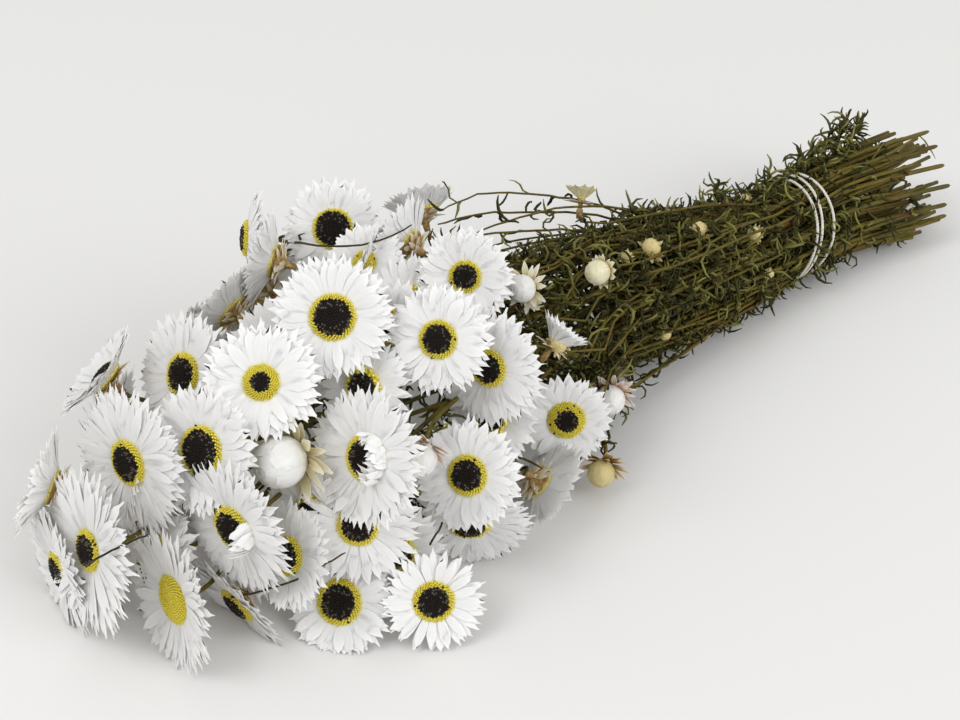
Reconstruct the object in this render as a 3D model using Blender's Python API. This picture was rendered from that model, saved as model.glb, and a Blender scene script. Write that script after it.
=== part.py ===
"""Bunch of dried everlasting daisies, tied with cord and lying on its side.

Run with: blender --background --python part.py
Units are metres and +Z is up.  The bunch lies along X, with the flowers at -X and the
cut stem ends at +X; the surface that it lies on is Z = 0.  Every flower head is one
turned solid (bract cup, petal ruff, floret disc), every stem is one branching solid
from its cut end, through the tie, to the heads that it carries.
"""

from math import cos, pi, radians, sin

import bmesh
import bpy
from mathutils import Quaternion, Vector

MM = 0.001

# ---- Driving dimensions, in millimetres -------------------------------------------
SEAT_GAP = 0.3            # between a stem tip and the piece seated on it
HEAD_LOBES = 8            # broad lobes round a petal ruff
LOBE_NOTCH = 0.80         # ruff radius between two lobes, as a share of its radius
CUP_DEPTH = 9.0           # bract cup, from the petal plane back to the stem
CUP_THROAT = 1.9          # radius of the cup where the stem meets it
RUFF_LIFT = 0.10          # how far the petal tips rise, as a share of the ruff radius
DISC_RISE = 3.4           # dome of florets above the petal plane
DARK_SHARE = 0.74         # dark middle of the disc, as a share of the disc radius
BUD_SIDES = 10
BUD_DEPTH = 1.30          # from a bud's middle back to its stem, as a share of its radius
STEM_RADIUS = 1.3
BRANCH_RADIUS = 1.0
STEM_SIDES = 6
BRANCH_STEPS = 6
SEAT_STRAIGHT = 2.5       # last straight stretch of a stem behind its flower
SEAT_CURVE = 13.0         # how far behind the seat a stem's curve aims
STEM_STEPS = 2            # steps between two of a stem's way points
TIE_ALONG = 124.0         # middle of the tie
TIE_LENGTH = 26.0         # the stems run parallel over this length of bundle
CORD_RADIUS = 0.65
CORD_TURNS = 3
CORD_PITCH = 4.2
CORD_SLANT = 15.0         # the turns lean this far along the bundle, top to bottom
CORD_STEPS = 20           # steps in a turn
STEM_COUNT = 14
# Where each stem is cut, along: the cut runs askew, shortest on the near side.
CUTS = (200, 203, 206, 213, 222, 212, 218, 205, 215, 222, 210, 216, 206, 204)

# Sections of the stem bundle, from the cut ends to the flowers:
# along, middle across, middle height, half width, half height.
BUNDLE = (
    (222, -8, 20.6, 30.0, 19.0),
    (180, -4, 23.4, 24.0, 21.0),
    (150, 0, 25.0, 20.6, 20.6),
    (98, 0, 25.0, 20.6, 20.6),
    (70, 0, 30.0, 24.5, 22.5),
    (30, 0, 36.0, 29.0, 26.0),
    (-20, 0, 44.0, 33.0, 28.0),
    (-70, 0, 48.0, 33.0, 28.0),
    (-120, 2, 49.0, 27.0, 22.0),
    (-170, 6, 46.0, 20.0, 16.0),
)

# Flower heads: along, across and height of the middle of the petal plane (LIES where
# the lowest petal rests on the surface), diameter of the floret disc, diameter of the
# petal ruff, heading and elevation in degrees of the way the flower faces (heading 180
# is -X, 270 is -Y), and the stem that carries it.
LIES = None
HEADS = (
    (-95, 50, 93, 16, 40, 220, 42, 6),
    (-80, -14, 98, 12, 34, 225, 32, 3),
    (-136, -6, 101, 17, 40, 225, 40, 4),
    (-110, -35, 95, 14, 34, 212, 35, 3),
    (-170, -8, 89, 13, 36, 225, 48, 4),
    (-183, 24, 80, 16, 40, 185, 32, 7),
    (-215, 14, 62, 17, 42, 190, 14, 10),
    (-197, -8, 72, 18, 34, 195, 30, 10),
    (-95, -46, 81, 14, 30, 200, 22, 2),
    (-56, -47, 36, 15, 36, 230, 18, 1),
    (-117, -60, 50, 15, 36, 207, 34, 1),
    (-115, -58, 24, 16, 33, 230, -8, 14),
    (-153, -47, 70, 17, 42, 190, 28, 2),
    (-160, -49, 43, 15, 34, 225, 24, 13),
    (-200, -30, 52, 18, 40, 192, 5, 12),
    (-185, -41, 37, 14, 26, 183, 28, 12),
    (-172, -52, LIES, 17, 38, 211, 39, 13),
    (-147, -76, LIES, 15, 40, 235, 29, 13),
    (-223, -22, LIES, 18, 52, 178, 11, 11),
    (-245, 22, LIES, 16, 40, 174, 2, 11),
    (-240, 5, 40, 15, 26, 178, 17, 10),
    (-216, -2, 29, 13, 21, 180, 23, 11),
    (-200, -27, LIES, 15, 24, 187, -17, 12),
    (-122, 70, 90, 14, 40, 147, 8, 6),
    (-125, 48, 92, 14, 30, 127, 9, 6),
    (-80, 20, 94, 14, 32, 106, 10, 5),
    (-50, 50, 82, 14, 40, 70, 40, 5),
    (-203, 48, 74, 15, 40, 130, 42, 7),
    (-236, 37, 46, 14, 32, 131, 19, 9),
    (-78, -55, 21, 14, 32, 324, -48, 14),
    (-101, 21, 95, 9, 22, 215, 45, 6),
    (-148, 45, 80, 14, 34, 105, 23, 7),
    (-75, 62, 55, 15, 40, 70, 25, 8),
    (-112, 78, 58, 16, 40, 95, 20, 8),
    (-152, 74, 50, 15, 38, 110, 15, 7),
    (-192, 66, 36, 16, 40, 130, 10, 9),
    (-228, 48, LIES, 15, 36, 150, 5, 9),
    (-92, 76, LIES, 14, 38, 80, 8, 8),
    (-136, 84, LIES, 16, 40, 97, 5, 8),
)

# Buds: along, across and height of the middle, diameter, heading and elevation of the
# tip, and the stem that carries it.
BUDS = (
    (-176, -26, 67, 19, 192, 8, 4),
    (-135, -55, 65, 12, 215, -25, 2),
    (-30, -45, 31, 12, 215, -10, 1),
    (-48, -60, 12, 11, 215, -20, 14),
    (-54, -17, 82, 11, 200, 25, 3),
    (-18, -22, 76, 10, 190, 20, 5),
)

# Where each stem forks: along, and how far out of the bundle's middle (1 is its edge).
FORKS = (
    (-20, 0.7), (-50, 0.8), (-30, 0.8), (-80, 0.7), (-10, 0.9), (-55, 0.8), (-90, 0.7),
    (-30, 0.9), (-135, 0.6), (-120, 0.3), (-140, 0.6), (-120, 0.6), (-90, 0.8), (-45, 0.55),
)

PETAL_WHITE = (0.86, 0.86, 0.84)
FLORET_YELLOW = (0.80, 0.65, 0.05)
DISC_BROWN = (0.020, 0.012, 0.008)
BRACT_BROWN = (0.42, 0.26, 0.10)
BUD_CREAM = (0.82, 0.77, 0.62)
STEM_OLIVE = (0.17, 0.14, 0.04)
CORD_WHITE = (0.80, 0.78, 0.72)


# ---- Helpers ----------------------------------------------------------------------
def clear_scene():
    """Remove every object from the start-up scene."""
    for obj in list(bpy.data.objects):
        bpy.data.objects.remove(obj, do_unlink=True)


def principled(name, colour, roughness):
    """A Principled material of one colour."""
    material = bpy.data.materials.new(name)
    material.use_nodes = True
    shader = material.node_tree.nodes["Principled BSDF"]
    shader.inputs["Base Color"].default_value = (*colour, 1.0)
    shader.inputs["Roughness"].default_value = roughness
    shader.inputs["Metallic"].default_value = 0.0
    return material


def add_object(name, bm, materials):
    """Link a bmesh, drawn in millimetres, as an object in metres."""
    bmesh.ops.scale(bm, vec=(MM, MM, MM), verts=bm.verts)
    bmesh.ops.recalc_face_normals(bm, faces=bm.faces)
    mesh = bpy.data.meshes.new(name)
    bm.to_mesh(mesh)
    bm.free()
    mesh.shade_smooth()
    mesh.set_sharp_from_angle(angle=radians(40))
    obj = bpy.data.objects.new(name, mesh)
    bpy.context.collection.objects.link(obj)
    for part, colour, roughness in materials:
        mesh.materials.append(principled(f"{name}_{part}", colour, roughness))
    return obj


def facing(heading, elevation):
    """Unit vector of a heading and an elevation in degrees."""
    h, e = radians(heading), radians(elevation)
    return Vector((cos(h) * cos(e), sin(h) * cos(e), sin(e)))


def head_middle(row):
    """Middle of a head's petal plane; a lying head stands on its lowest petal."""
    along, across, height, _, ruff, _, elevation, _ = row
    if height is LIES:
        reach, tilt = ruff / 2, radians(elevation)
        height = reach * (cos(tilt) - RUFF_LIFT * sin(tilt))
    return Vector((along, across, height))


def place(obj, middle, toward, turn):
    """Put an object's origin at middle (mm), its +Z toward a unit vector."""
    obj.location = Vector(middle) * MM
    obj.rotation_mode = "QUATERNION"
    spin = Quaternion((0, 0, 1), turn)
    obj.rotation_quaternion = toward.to_track_quat("Z", "Y") @ spin


def turned_rings(bm, profile, sides, notch_ring=None):
    """Rings of vertices for (radius, height, ...) rows, with every second one drawn in."""
    rings = []
    for index, row in enumerate(profile):
        ring = []
        for side in range(sides):
            angle = 2 * pi * side / sides
            reach = row[0]
            if index == notch_ring and side % 2:
                reach *= LOBE_NOTCH
            ring.append(bm.verts.new((reach * cos(angle), reach * sin(angle), row[1])))
        rings.append(ring)
    return rings


def skin_rings(bm, rings, slots):
    """Faces between neighbouring rings; slots gives each band's material."""
    for lower, upper, slot in zip(rings, rings[1:], slots):
        count = len(lower)
        for side in range(count):
            after = (side + 1) % count
            face = bm.faces.new((lower[side], lower[after], upper[after], upper[side]))
            face.material_index = slot


def close_with_apex(bm, ring, height, slot):
    """Close a ring with a fan up to a point on the axis."""
    apex = bm.verts.new((0, 0, height))
    for side in range(len(ring)):
        after = (side + 1) % len(ring)
        bm.faces.new((ring[side], ring[after], apex)).material_index = slot


# ---- Flower heads and buds --------------------------------------------------------
def build_head(number, row):
    """Bract cup, lobed petal ruff and domed floret disc, turned as one solid."""
    _, _, height, disc, ruff, heading, elevation, _ = row
    disc_r, ruff_r = disc / 2, ruff / 2
    turn = 0 if height is LIES else number * 0.7
    profile = (
        (CUP_THROAT, -CUP_DEPTH),
        (disc_r * 0.62, -CUP_DEPTH * 0.72),
        (disc_r * 0.92, -CUP_DEPTH * 0.25),
        (ruff_r, ruff_r * RUFF_LIFT),
        (disc_r, DISC_RISE * 0.15),
        (disc_r * 0.90, DISC_RISE * 0.62),
        (disc_r * DARK_SHARE, DISC_RISE * 0.80),
    )
    bm = bmesh.new()
    rings = turned_rings(bm, profile, 2 * HEAD_LOBES, notch_ring=3)
    skin_rings(bm, rings, (3, 3, 0, 0, 1, 1))
    bm.faces.new(list(reversed(rings[0]))).material_index = 3
    close_with_apex(bm, rings[-1], DISC_RISE, 2)
    name = f"daisy_head_{number:02d}"
    head = add_object(name, bm, (
        ("petals", PETAL_WHITE, 0.55),
        ("florets", FLORET_YELLOW, 0.70),
        ("disc", DISC_BROWN, 0.65),
        ("bracts", BRACT_BROWN, 0.60),
    ))
    place(head, head_middle(row), facing(heading, elevation), turn)
    return head


def build_bud(number, row):
    """A closed bud: globe of white scales on a short cup of bracts."""
    along, across, height, size, heading, elevation, _ = row
    r = size / 2
    profile = (
        (CUP_THROAT * 0.8, -r * BUD_DEPTH),
        (r * 0.62, -r * 0.98),
        (r * 0.95, -r * 0.35),
        (r, r * 0.10),
        (r * 0.78, r * 0.68),
        (r * 0.36, r * 1.02),
    )
    bm = bmesh.new()
    rings = turned_rings(bm, profile, BUD_SIDES)
    skin_rings(bm, rings, (1, 1, 0, 0, 0))
    bm.faces.new(list(reversed(rings[0]))).material_index = 1
    close_with_apex(bm, rings[-1], r * 1.12, 0)
    bud = add_object(f"bud_{number:02d}", bm, (
        ("scales", BUD_CREAM, 0.50),
        ("bracts", BRACT_BROWN, 0.60),
    ))
    place(bud, (along, across, height), facing(heading, elevation), number * 0.9)
    return bud


# ---- Stems ------------------------------------------------------------------------
def bundle_section(along):
    """Middle and half sizes of the bundle at one station."""
    if along >= BUNDLE[0][0]:
        return BUNDLE[0][1:]
    for near, far in zip(BUNDLE, BUNDLE[1:]):
        if along >= far[0]:
            share = (near[0] - along) / (near[0] - far[0])
            return tuple(a + (b - a) * share for a, b in zip(near[1:], far[1:]))
    return BUNDLE[-1][1:]


def bundle_point(along, slot, reach=1.0):
    """Point of one stem slot: slot 1 lies on the near side, the next ones go up."""
    across, height, wide, high = bundle_section(along)
    angle = 2 * pi * (slot - 1) / STEM_COUNT
    return Vector((
        along,
        across - reach * wide * cos(angle),
        height + reach * high * sin(angle),
    ))


def smooth_path(points, steps):
    """Catmull-Rom curve through the points."""
    path = []
    padded = [points[0] * 2 - points[1], *points, points[-1] * 2 - points[-2]]
    for a, b, c, d in zip(padded, padded[1:], padded[2:], padded[3:]):
        for step in range(steps):
            t = step / steps
            path.append(0.5 * (
                2 * b + (c - a) * t
                + (2 * a - 5 * b + 4 * c - d) * t ** 2
                + (3 * b - a - 3 * c + d) * t ** 3
            ))
    path.append(points[-1])
    return path


def bezier_path(start, handle_a, handle_b, end, steps):
    """Cubic Bezier curve as a list of points."""
    path = []
    for step in range(steps + 1):
        t = step / steps
        s = 1 - t
        path.append(
            start * s ** 3 + handle_a * 3 * s * s * t
            + handle_b * 3 * s * t * t + end * t ** 3
        )
    return path


def path_to_seat(fork, handle, tip, toward):
    """From the fork to a seat, the last stretch straight along the flower's axis."""
    end = tip - toward * SEAT_STRAIGHT
    aim = tip - toward * SEAT_CURVE
    return bezier_path(fork, handle, aim, end, BRANCH_STEPS) + [tip]


def tube(bm, path, radius_a, radius_b, sides):
    """A closed round tube along a path, its ends cut square."""
    across = Vector((0, 0, 1))
    rings = []
    last = len(path) - 1
    for index, point in enumerate(path):
        ahead = path[min(index + 1, last)] - path[max(index - 1, 0)]
        ahead.normalize()
        across = (across - ahead * across.dot(ahead)).normalized()
        other = ahead.cross(across)
        radius = radius_a + (radius_b - radius_a) * index / last
        rings.append([
            bm.verts.new(
                point + radius * (across * cos(2 * pi * side / sides)
                                  + other * sin(2 * pi * side / sides))
            )
            for side in range(sides)
        ])
    skin_rings(bm, rings, [0] * last)
    bm.faces.new(list(reversed(rings[0])))
    bm.faces.new(rings[-1])


def seats_of(stem):
    """(seat point, facing) of each head and bud that a stem carries."""
    seats = []
    for row in HEADS:
        heading, elevation, carrier = row[5:]
        if carrier == stem:
            toward = facing(heading, elevation)
            seats.append((head_middle(row) - toward * (CUP_DEPTH + SEAT_GAP), toward))
    for along, across, height, size, heading, elevation, carrier in BUDS:
        if carrier == stem:
            toward = facing(heading, elevation)
            middle = Vector((along, across, height))
            depth = size / 2 * BUD_DEPTH + SEAT_GAP
            seats.append((middle - toward * depth, toward))
    return seats


def build_stem(number):
    """One stem from its cut end to the fork, with a branch to each seat."""
    fork_along, fork_reach = FORKS[number - 1]
    half = TIE_LENGTH / 2
    stations = (
        CUTS[number - 1], BUNDLE[1][0], TIE_ALONG + 2 * half, TIE_ALONG + half,
        TIE_ALONG - half, TIE_ALONG - 2 * half,
    )
    points = [bundle_point(along, number) for along in stations]
    middle = (stations[-1] + fork_along) / 2
    points.append(bundle_point(middle, number, (1 + fork_reach) / 2))
    fork = bundle_point(fork_along, number, fork_reach)
    points.append(fork)
    seats = sorted(seats_of(number), key=lambda seat: seat[0].x)
    bm = bmesh.new()
    tip, toward = seats[0]
    trunk = smooth_path(points, STEM_STEPS)
    trunk += path_to_seat(fork, fork + (fork - trunk[-2]) * 1.2, tip, toward)[1:]
    tube(bm, trunk, STEM_RADIUS, BRANCH_RADIUS, STEM_SIDES)
    stem = add_object(f"stem_{number:02d}", bm, (("bark", STEM_OLIVE, 0.60),))
    for index, (tip, toward) in enumerate(seats[1:], 1):
        bm = bmesh.new()
        run = tip - fork
        handle = fork + Vector((run.x * 0.4, run.y * 0.12, run.z * 0.12))
        branch = path_to_seat(fork, handle, tip, toward)
        tube(bm, branch, BRANCH_RADIUS, BRANCH_RADIUS, STEM_SIDES)
        side = add_object(
            f"stem_{number:02d}_branch_{index}", bm, (("bark", STEM_OLIVE, 0.60),)
        )
        side.hide_render = True
        side.display_type = "WIRE"
        union = stem.modifiers.new(f"join_branch_{index}", "BOOLEAN")
        union.operation = "UNION"
        union.solver = "EXACT"
        union.object = side
    return stem


# ---- Tie --------------------------------------------------------------------------
def build_tie():
    """Cord wound round the bundle in slanting turns."""
    across, height, wide, _ = bundle_section(TIE_ALONG)
    reach = (wide + STEM_RADIUS + SEAT_GAP + CORD_RADIUS) / cos(pi / CORD_STEPS)
    path = []
    for step in range(CORD_TURNS * CORD_STEPS + 1):
        turn = step / CORD_STEPS
        angle = 2 * pi * turn - pi / 2
        along = TIE_ALONG + (turn - CORD_TURNS / 2) * CORD_PITCH + CORD_SLANT / 2 * sin(angle)
        path.append(Vector((along, across - reach * cos(angle), height + reach * sin(angle))))
    bm = bmesh.new()
    tube(bm, path, CORD_RADIUS, CORD_RADIUS, STEM_SIDES)
    return add_object("tie_cord", bm, (("cotton", CORD_WHITE, 0.85),))


def centre_on_origin(pieces):
    """Shift the bunch: box centred on the origin in X and Y, lowest point at Z = 0."""
    bpy.context.view_layer.update()
    graph = bpy.context.evaluated_depsgraph_get()
    corners = []
    for piece in pieces:
        seen = piece.evaluated_get(graph)
        corners += [seen.matrix_world @ vertex.co for vertex in seen.data.vertices]
    shift = Vector((0, 0, 0))
    for axis in (0, 1):
        values = [corner[axis] for corner in corners]
        shift[axis] = -(min(values) + max(values)) / 2
    shift.z = -min(corner.z for corner in corners)
    for obj in bpy.data.objects:
        obj.location += shift


def main():
    clear_scene()
    pieces = [build_head(number, row) for number, row in enumerate(HEADS, 1)]
    pieces += [build_bud(number, row) for number, row in enumerate(BUDS, 1)]
    pieces += [build_stem(number) for number in range(1, STEM_COUNT + 1)]
    pieces.append(build_tie())
    centre_on_origin(pieces)


main()
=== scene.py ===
"""Bunch of dried everlasting daisies, dressed: petals, florets, bracts, buds, bark and leaves.

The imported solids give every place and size; each step below stands its own finished
pieces where they lie.  Units are metres, +Z is up, the cut stem ends are at +X.
"""

from collections import namedtuple
from itertools import combinations
from math import atan2, cos, exp, pi, radians, sin, sqrt
from random import Random

import bmesh
import bpy
from bpy.props import FloatProperty, FloatVectorProperty, IntProperty, PointerProperty
from mathutils import Matrix, Quaternion, Vector


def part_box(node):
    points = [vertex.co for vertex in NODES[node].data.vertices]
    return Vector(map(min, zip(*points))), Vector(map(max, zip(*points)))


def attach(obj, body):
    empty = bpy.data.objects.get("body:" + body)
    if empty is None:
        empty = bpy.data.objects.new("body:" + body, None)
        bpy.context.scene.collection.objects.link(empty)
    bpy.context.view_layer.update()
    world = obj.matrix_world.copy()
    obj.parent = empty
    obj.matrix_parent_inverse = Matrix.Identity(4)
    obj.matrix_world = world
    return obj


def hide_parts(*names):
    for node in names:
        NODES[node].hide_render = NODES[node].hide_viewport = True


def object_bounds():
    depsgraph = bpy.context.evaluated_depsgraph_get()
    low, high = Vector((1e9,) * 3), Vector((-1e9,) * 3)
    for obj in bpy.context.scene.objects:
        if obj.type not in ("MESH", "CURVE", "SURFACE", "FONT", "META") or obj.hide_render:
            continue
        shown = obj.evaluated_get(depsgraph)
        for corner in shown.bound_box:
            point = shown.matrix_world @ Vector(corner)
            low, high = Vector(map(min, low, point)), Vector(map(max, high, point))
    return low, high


bl_info = {
    "name": "Everlasting Daisy Bunch",
    "version": (1, 0, 0),
    "blender": (4, 5, 0),
    "location": "View3D > Sidebar > Daisies",
    "description": "Dresses a tied bunch of dried everlasting daisies",
    "category": "Object",
}

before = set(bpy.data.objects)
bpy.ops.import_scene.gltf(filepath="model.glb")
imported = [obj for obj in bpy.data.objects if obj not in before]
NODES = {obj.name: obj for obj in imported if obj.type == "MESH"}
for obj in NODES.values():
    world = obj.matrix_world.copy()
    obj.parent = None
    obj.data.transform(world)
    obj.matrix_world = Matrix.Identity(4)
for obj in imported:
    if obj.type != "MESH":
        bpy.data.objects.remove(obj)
CAD_LOW, CAD_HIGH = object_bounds()

MM = 0.001
BODY = "root"
HEADS = sorted(name for name in NODES if name.startswith("daisy_head"))
BUDS = sorted(name for name in NODES if name.startswith("bud"))
STEMS = sorted(name for name in NODES if name.startswith("stem"))
TIE = "tie_cord"
TIE_LOW, TIE_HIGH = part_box(TIE)
TIE_MIDDLE = (TIE_LOW + TIE_HIGH) / 2
SIDEWAYS = Vector((0.77, -0.64, 0.0))    # to the right, as the camera sees the bunch

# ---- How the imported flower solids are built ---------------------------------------
WELD = 0.002 * MM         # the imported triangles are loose; points this near are one
CUP_SHARE = 9.0 / 12.4    # petal plane, from the back of a head to its apex
DARK_SHARE = 0.74         # ring below the apex, as a share of the floret disc
BUD_SHARE = 1.30 / 2.42   # middle of a bud, from its back to its tip
BUD_LENGTH = 2.42         # length of a bud, in its own radii

# ---- Sizes of the dried flower, in metres -----------------------------------------
TABLE_GAP = 0.4 * MM      # the lowest petals lie this far above the surface
TABLE_SOFT = 1.8 * MM     # petals start to bend away from the surface at this height
PETAL_GRID = 4, 3         # faces along and across a petal
BLADE_GRID = 4, 2         # and of a bract, or of a petal that is half hidden
TIP_SHARE = 0.26          # width left at the torn tip of a petal
DISC_RISE = 3.4 * MM      # dome of florets above the petals
DISC_STEPS = 18           # steps round the dome and cup of a head
PETAL_ROOT = 0.94         # where the petals grow, as a share of the radius of the disc
CUP_DEPTH = 9.0 * MM      # from the petals back to the stem
CUP_NECK = 1.2 * MM       # half thickness of the cup where the stem meets it
USUAL_DISC = 8 * MM       # disc radius at which a head has the usual number of florets
GOLDEN_ANGLE = pi * (3 - sqrt(5))

# ---- Half-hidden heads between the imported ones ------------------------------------
INNER_HEADS = 24
INNER_DROP = 13.0 * MM    # such a head lies this much lower than its neighbours
INNER_START = 205 * MM    # and at least this far from the tie
INNER_DISC = 6.6 * MM
INNER_RUFF = 18.5 * MM
INNER_GAPS = 30 * MM, 64 * MM    # the heads beside it are this far apart
INNER_ALIKE = 0.45        # cosine of the angle between the ways that those two face
INNER_ROOM = 21 * MM      # between two of them
INNER_BUD_ROOM = 24 * MM  # between one of them and a bud
INNER_LOWEST = 12 * MM    # above the surface
FEWER_FLORETS = 3         # they and the young heads have this many times fewer florets

# ---- Stems, leaves and cord, in metres --------------------------------------------
SECTION_STEP = 12 * MM    # between two sections that are measured across the bundle
SECTION_SAMPLES = 320     # points taken on each packed stem to measure them
FLARE = 34 * MM           # the bundle is pinched over this distance from its tie
CUT_FAR = 90 * MM         # the thin stems are cut this far past the tie
CUT_SLANT = 14 * MM       # and this much nearer to it on the near side
CUT_UNEVEN = 26           # some of them end up to this much earlier (mm)
THIN_ENDS = 70, 200       # toward the flowers they end this far from it (mm)
THIN_SWAY = 0.9           # and sway this much (mm)
THIN_POINTS = 16
WAY_STEPS = 4             # steps between two way points of a shoot or a stray stem
STRAY_RADIUS = 0.45 * MM
SHOOT_LEAVES = 9, 14      # leaves on a shoot that starts high on the bundle, and on a low one
SHOOT_LOW = 8 * MM        # a low one starts this far below the middle of the tie
SHOOT_PLACES = 50         # places on a shoot that are tried for its leaves
TUFT_LEAVES = 34
LEAF_CURLS = 0.3, 0.55, 0.8, 1.1    # how far leaves turn at each of their points (radians)
LEAF_HOOKS = 0.45         # share of the leaves that turn the other way after their middle
CORD_RADIUS = 0.65 * MM
CORD_SLANT = 15.0 * MM    # the turns lean this far along the bundle, top to bottom
CORD_PITCH = 5.4 * MM
CORD_PLIES = 3
CORD_STEPS = 160          # steps in a turn
CORD_WANDER = 1.2 * MM    # the turns aren't quite even
CORD_TUCK = 2.6 * MM      # the two ends are tucked in this deep
TUCK_STEPS = 9            # steps over which they come out

# ---- Stage; the camera and the lamps are placed from the point that they face ------
LOOK_AT = TIE_MIDDLE + Vector((-0.184, 0, 0.015))
CAMERA_TURN, CAMERA_RISE = radians(-40), radians(38)    # round from -Y, and up
CAMERA_REACH = 0.76
KEY_PLACE, KEY_SIZE = Vector((-5.4, 0.9, 7.8)), 4.8
FILL_PLACE, FILL_SIZE = Vector((2.1, -7.8, 5.1)), 5.4
BOARD_PAINTED_FALLOFF = 0.9          # painted shade: the board turns greyer from this far in front to as far behind, in place of the lamps' falloff

# A thin pointed blade, such as a petal, a bract or a scale: its length, its greatest
# width, the angle at which it leaves and how much it bends over its length, its twist
# and roll (radians), how deep it is troughed, its width at the base as a share, where it
# is widest as a share of its length, and how torn its tip is as a share of its length.
Blade = namedtuple("Blade", "length width start bend twist roll trough base widest torn")

# A ring of blades: how many, radius and height of their roots, and then as Blade.
Ring = namedtuple("Ring", "count root_radius root_height length width start bend")

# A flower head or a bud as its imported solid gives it: the matrix stands +Z along its axis.
Seat = namedtuple("Seat", "node matrix disc_radius ruff_radius")

# Petal rings from the innermost out: root height (mm), start and bend (degrees), length
# share and how closely the petals overlap.
PETAL_RINGS = (
    (0.7, 11, -15, 0.84, 1.35),
    (0.45, 9, -14, 0.93, 1.45),
    (0.2, 7, -13, 1.00, 1.55),
)

# Bract rings on the cup, from the stem up: how many, root radius as a share of the
# disc, root height (mm), length and width (mm), start and bend (degrees).
BRACT_RINGS = (
    (5, 0.16, -5.2, 4.6, 2.2, 34, -20),
    (7, 0.34, -3.9, 5.6, 2.4, 20, -12),
    (9, 0.56, -2.4, 6.0, 2.7, 6, -4),
)

ODD_FLORETS = 0.012       # share of the florets of the rim that are dark
DUSTED_FLORETS = 0.3      # share of the dark ones near the rim that are dusted

# Dark middle of the disc, as a share of its radius: the usual one, and the others.
DARK_MIDDLE = 0.77
DARK_MIDDLES = {
    "daisy_head_01": 0.85, "daisy_head_03": 0.80, "daisy_head_08": 0.83,
    "daisy_head_19": 0.0, "daisy_head_05": 0.55, "daisy_head_10": 0.60, "daisy_head_31": 0.3,
    "young_head_01": 0.3, "young_head_02": 0.0, "young_head_03": 0.0,
}

# Heads whose inner petals still curl in over the disc: how many, and from which side, in
# degrees from the camera's right, anticlockwise.  They stand this far apart (radians).
CURL_SPACING = 0.10
CURLED_HEADS = {
    "daisy_head_13": (26, 5), "daisy_head_16": (6, 170), "daisy_head_15": (15, -5),
    "daisy_head_22": (8, 150), "daisy_head_09": (5, 160), "daisy_head_08": (4, 190),
}

# Older heads, whose narrower petals stand apart: how closely the petals overlap.
SPARSE_HEADS = {"daisy_head_18": 0.55, "daisy_head_14": 0.6, "daisy_head_12": 0.75}

# Heads with longer or shorter petals than most: their length as a share of the usual one.
FULL_HEADS = {
    "daisy_head_01": 0.92, "daisy_head_05": 1.14, "daisy_head_06": 1.05, "daisy_head_07": 1.25,
    "daisy_head_09": 1.1, "daisy_head_10": 0.86, "daisy_head_12": 1.1, "daisy_head_13": 1.12,
    "daisy_head_14": 1.08, "daisy_head_15": 1.12, "daisy_head_17": 0.9, "daisy_head_18": 0.92,
    "daisy_head_19": 1.04, "daisy_head_20": 1.15, "daisy_head_21": 1.45, "daisy_head_22": 1.15,
    "daisy_head_27": 0.85, "daisy_head_29": 1.1,
}

# Young flowers between the stems that aren't packed as solids: place from the middle of
# the tie (mm), the way each faces (degrees round from +X, degrees up), and the radii of
# its disc and its petals (mm).
YOUNG_HEADS = (
    ((-176, -36, 41), 350, 45, 3.0, 13.0),
    ((-105, 27, 47), 40, 50, 1.8, 8.5),
    ((-172, -12, 46), 300, 50, 2.0, 9.0),
)

# Those whose petals are still cream.
CREAM_HEADS = ("young_head_02", "young_head_03")

# Heads that are only half open, or older ones that bend back: how far their petals rise
# (degrees).
HALF_OPEN = {
    "young_head_01": 42, "young_head_02": 42, "young_head_03": 42, "daisy_head_27": 40,
    "daisy_head_26": 24, "daisy_head_25": 20, "daisy_head_30": 10, "daisy_head_28": 20,
    "daisy_head_29": 20, "daisy_head_32": 22, "daisy_head_24": -22,
}

# Small cream buds among the leaves: distance along from the tie (mm), degrees round
# the bundle from its near side, radius (mm).
LEAF_BUDS = (
    (-39, 51, 3.0), (-65, 75, 3.3), (-21, 111, 2.0), (-23, 132, 2.2), (-97, 69, 4.0),
    (-35, 0, 1.7), (-113, 66, 2.0), (-176, 24, 3.2), (-150, 250, 2.8), (-60, 200, 3.0),
    (-95, 230, 3.2), (-120, 160, 2.8), (-70, 300, 2.6), (-140, 200, 3.2), (-100, 330, 2.8),
)

# Long thin leafy shoots on the outside of the bundle, at its back toward the flowers and
# low on its near side, as way points from the middle of the tie (mm).
SHOOTS = (
    ((-60, 18, 14), (-91, 28, 36), (-115, 30, 50), (-137, 30, 61), (-160, 30, 70),
     (-180, 28, 72)),
    ((-62, 20, 12), (-92, 30, 31), (-126, 32, 46), (-158, 30, 60), (-184, 26, 68)),
    ((-66, 22, 6), (-100, 34, 24), (-130, 36, 36), (-160, 36, 46), (-186, 34, 50)),
    ((-58, 12, 18), (-88, 20, 38), (-118, 22, 50), (-146, 20, 58), (-172, 16, 64)),
    ((-40, 24, 2), (-76, 38, 12), (-112, 46, 20), (-150, 50, 26), (-184, 50, 28)),
    ((-44, 26, -4), (-84, 40, 0), (-124, 48, 6), (-160, 52, 10), (-196, 52, 12)),
    ((-10, -14, -13), (-50, -20, -14), (-90, -25, -14), (-124, -29, -12), (-152, -35, -7)),
    ((-30, -18, -10), (-66, -24, -11), (-100, -29, -10), (-130, -34, -6), (-160, -42, -1)),
    ((-60, -20, -13), (-88, -25, -13), (-116, -29, -12), (-140, -36, -9), (-164, -43, -4)),
    ((-80, -23, -11), (-104, -28, -10), (-128, -33, -9), (-148, -41, -6)),
)

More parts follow.
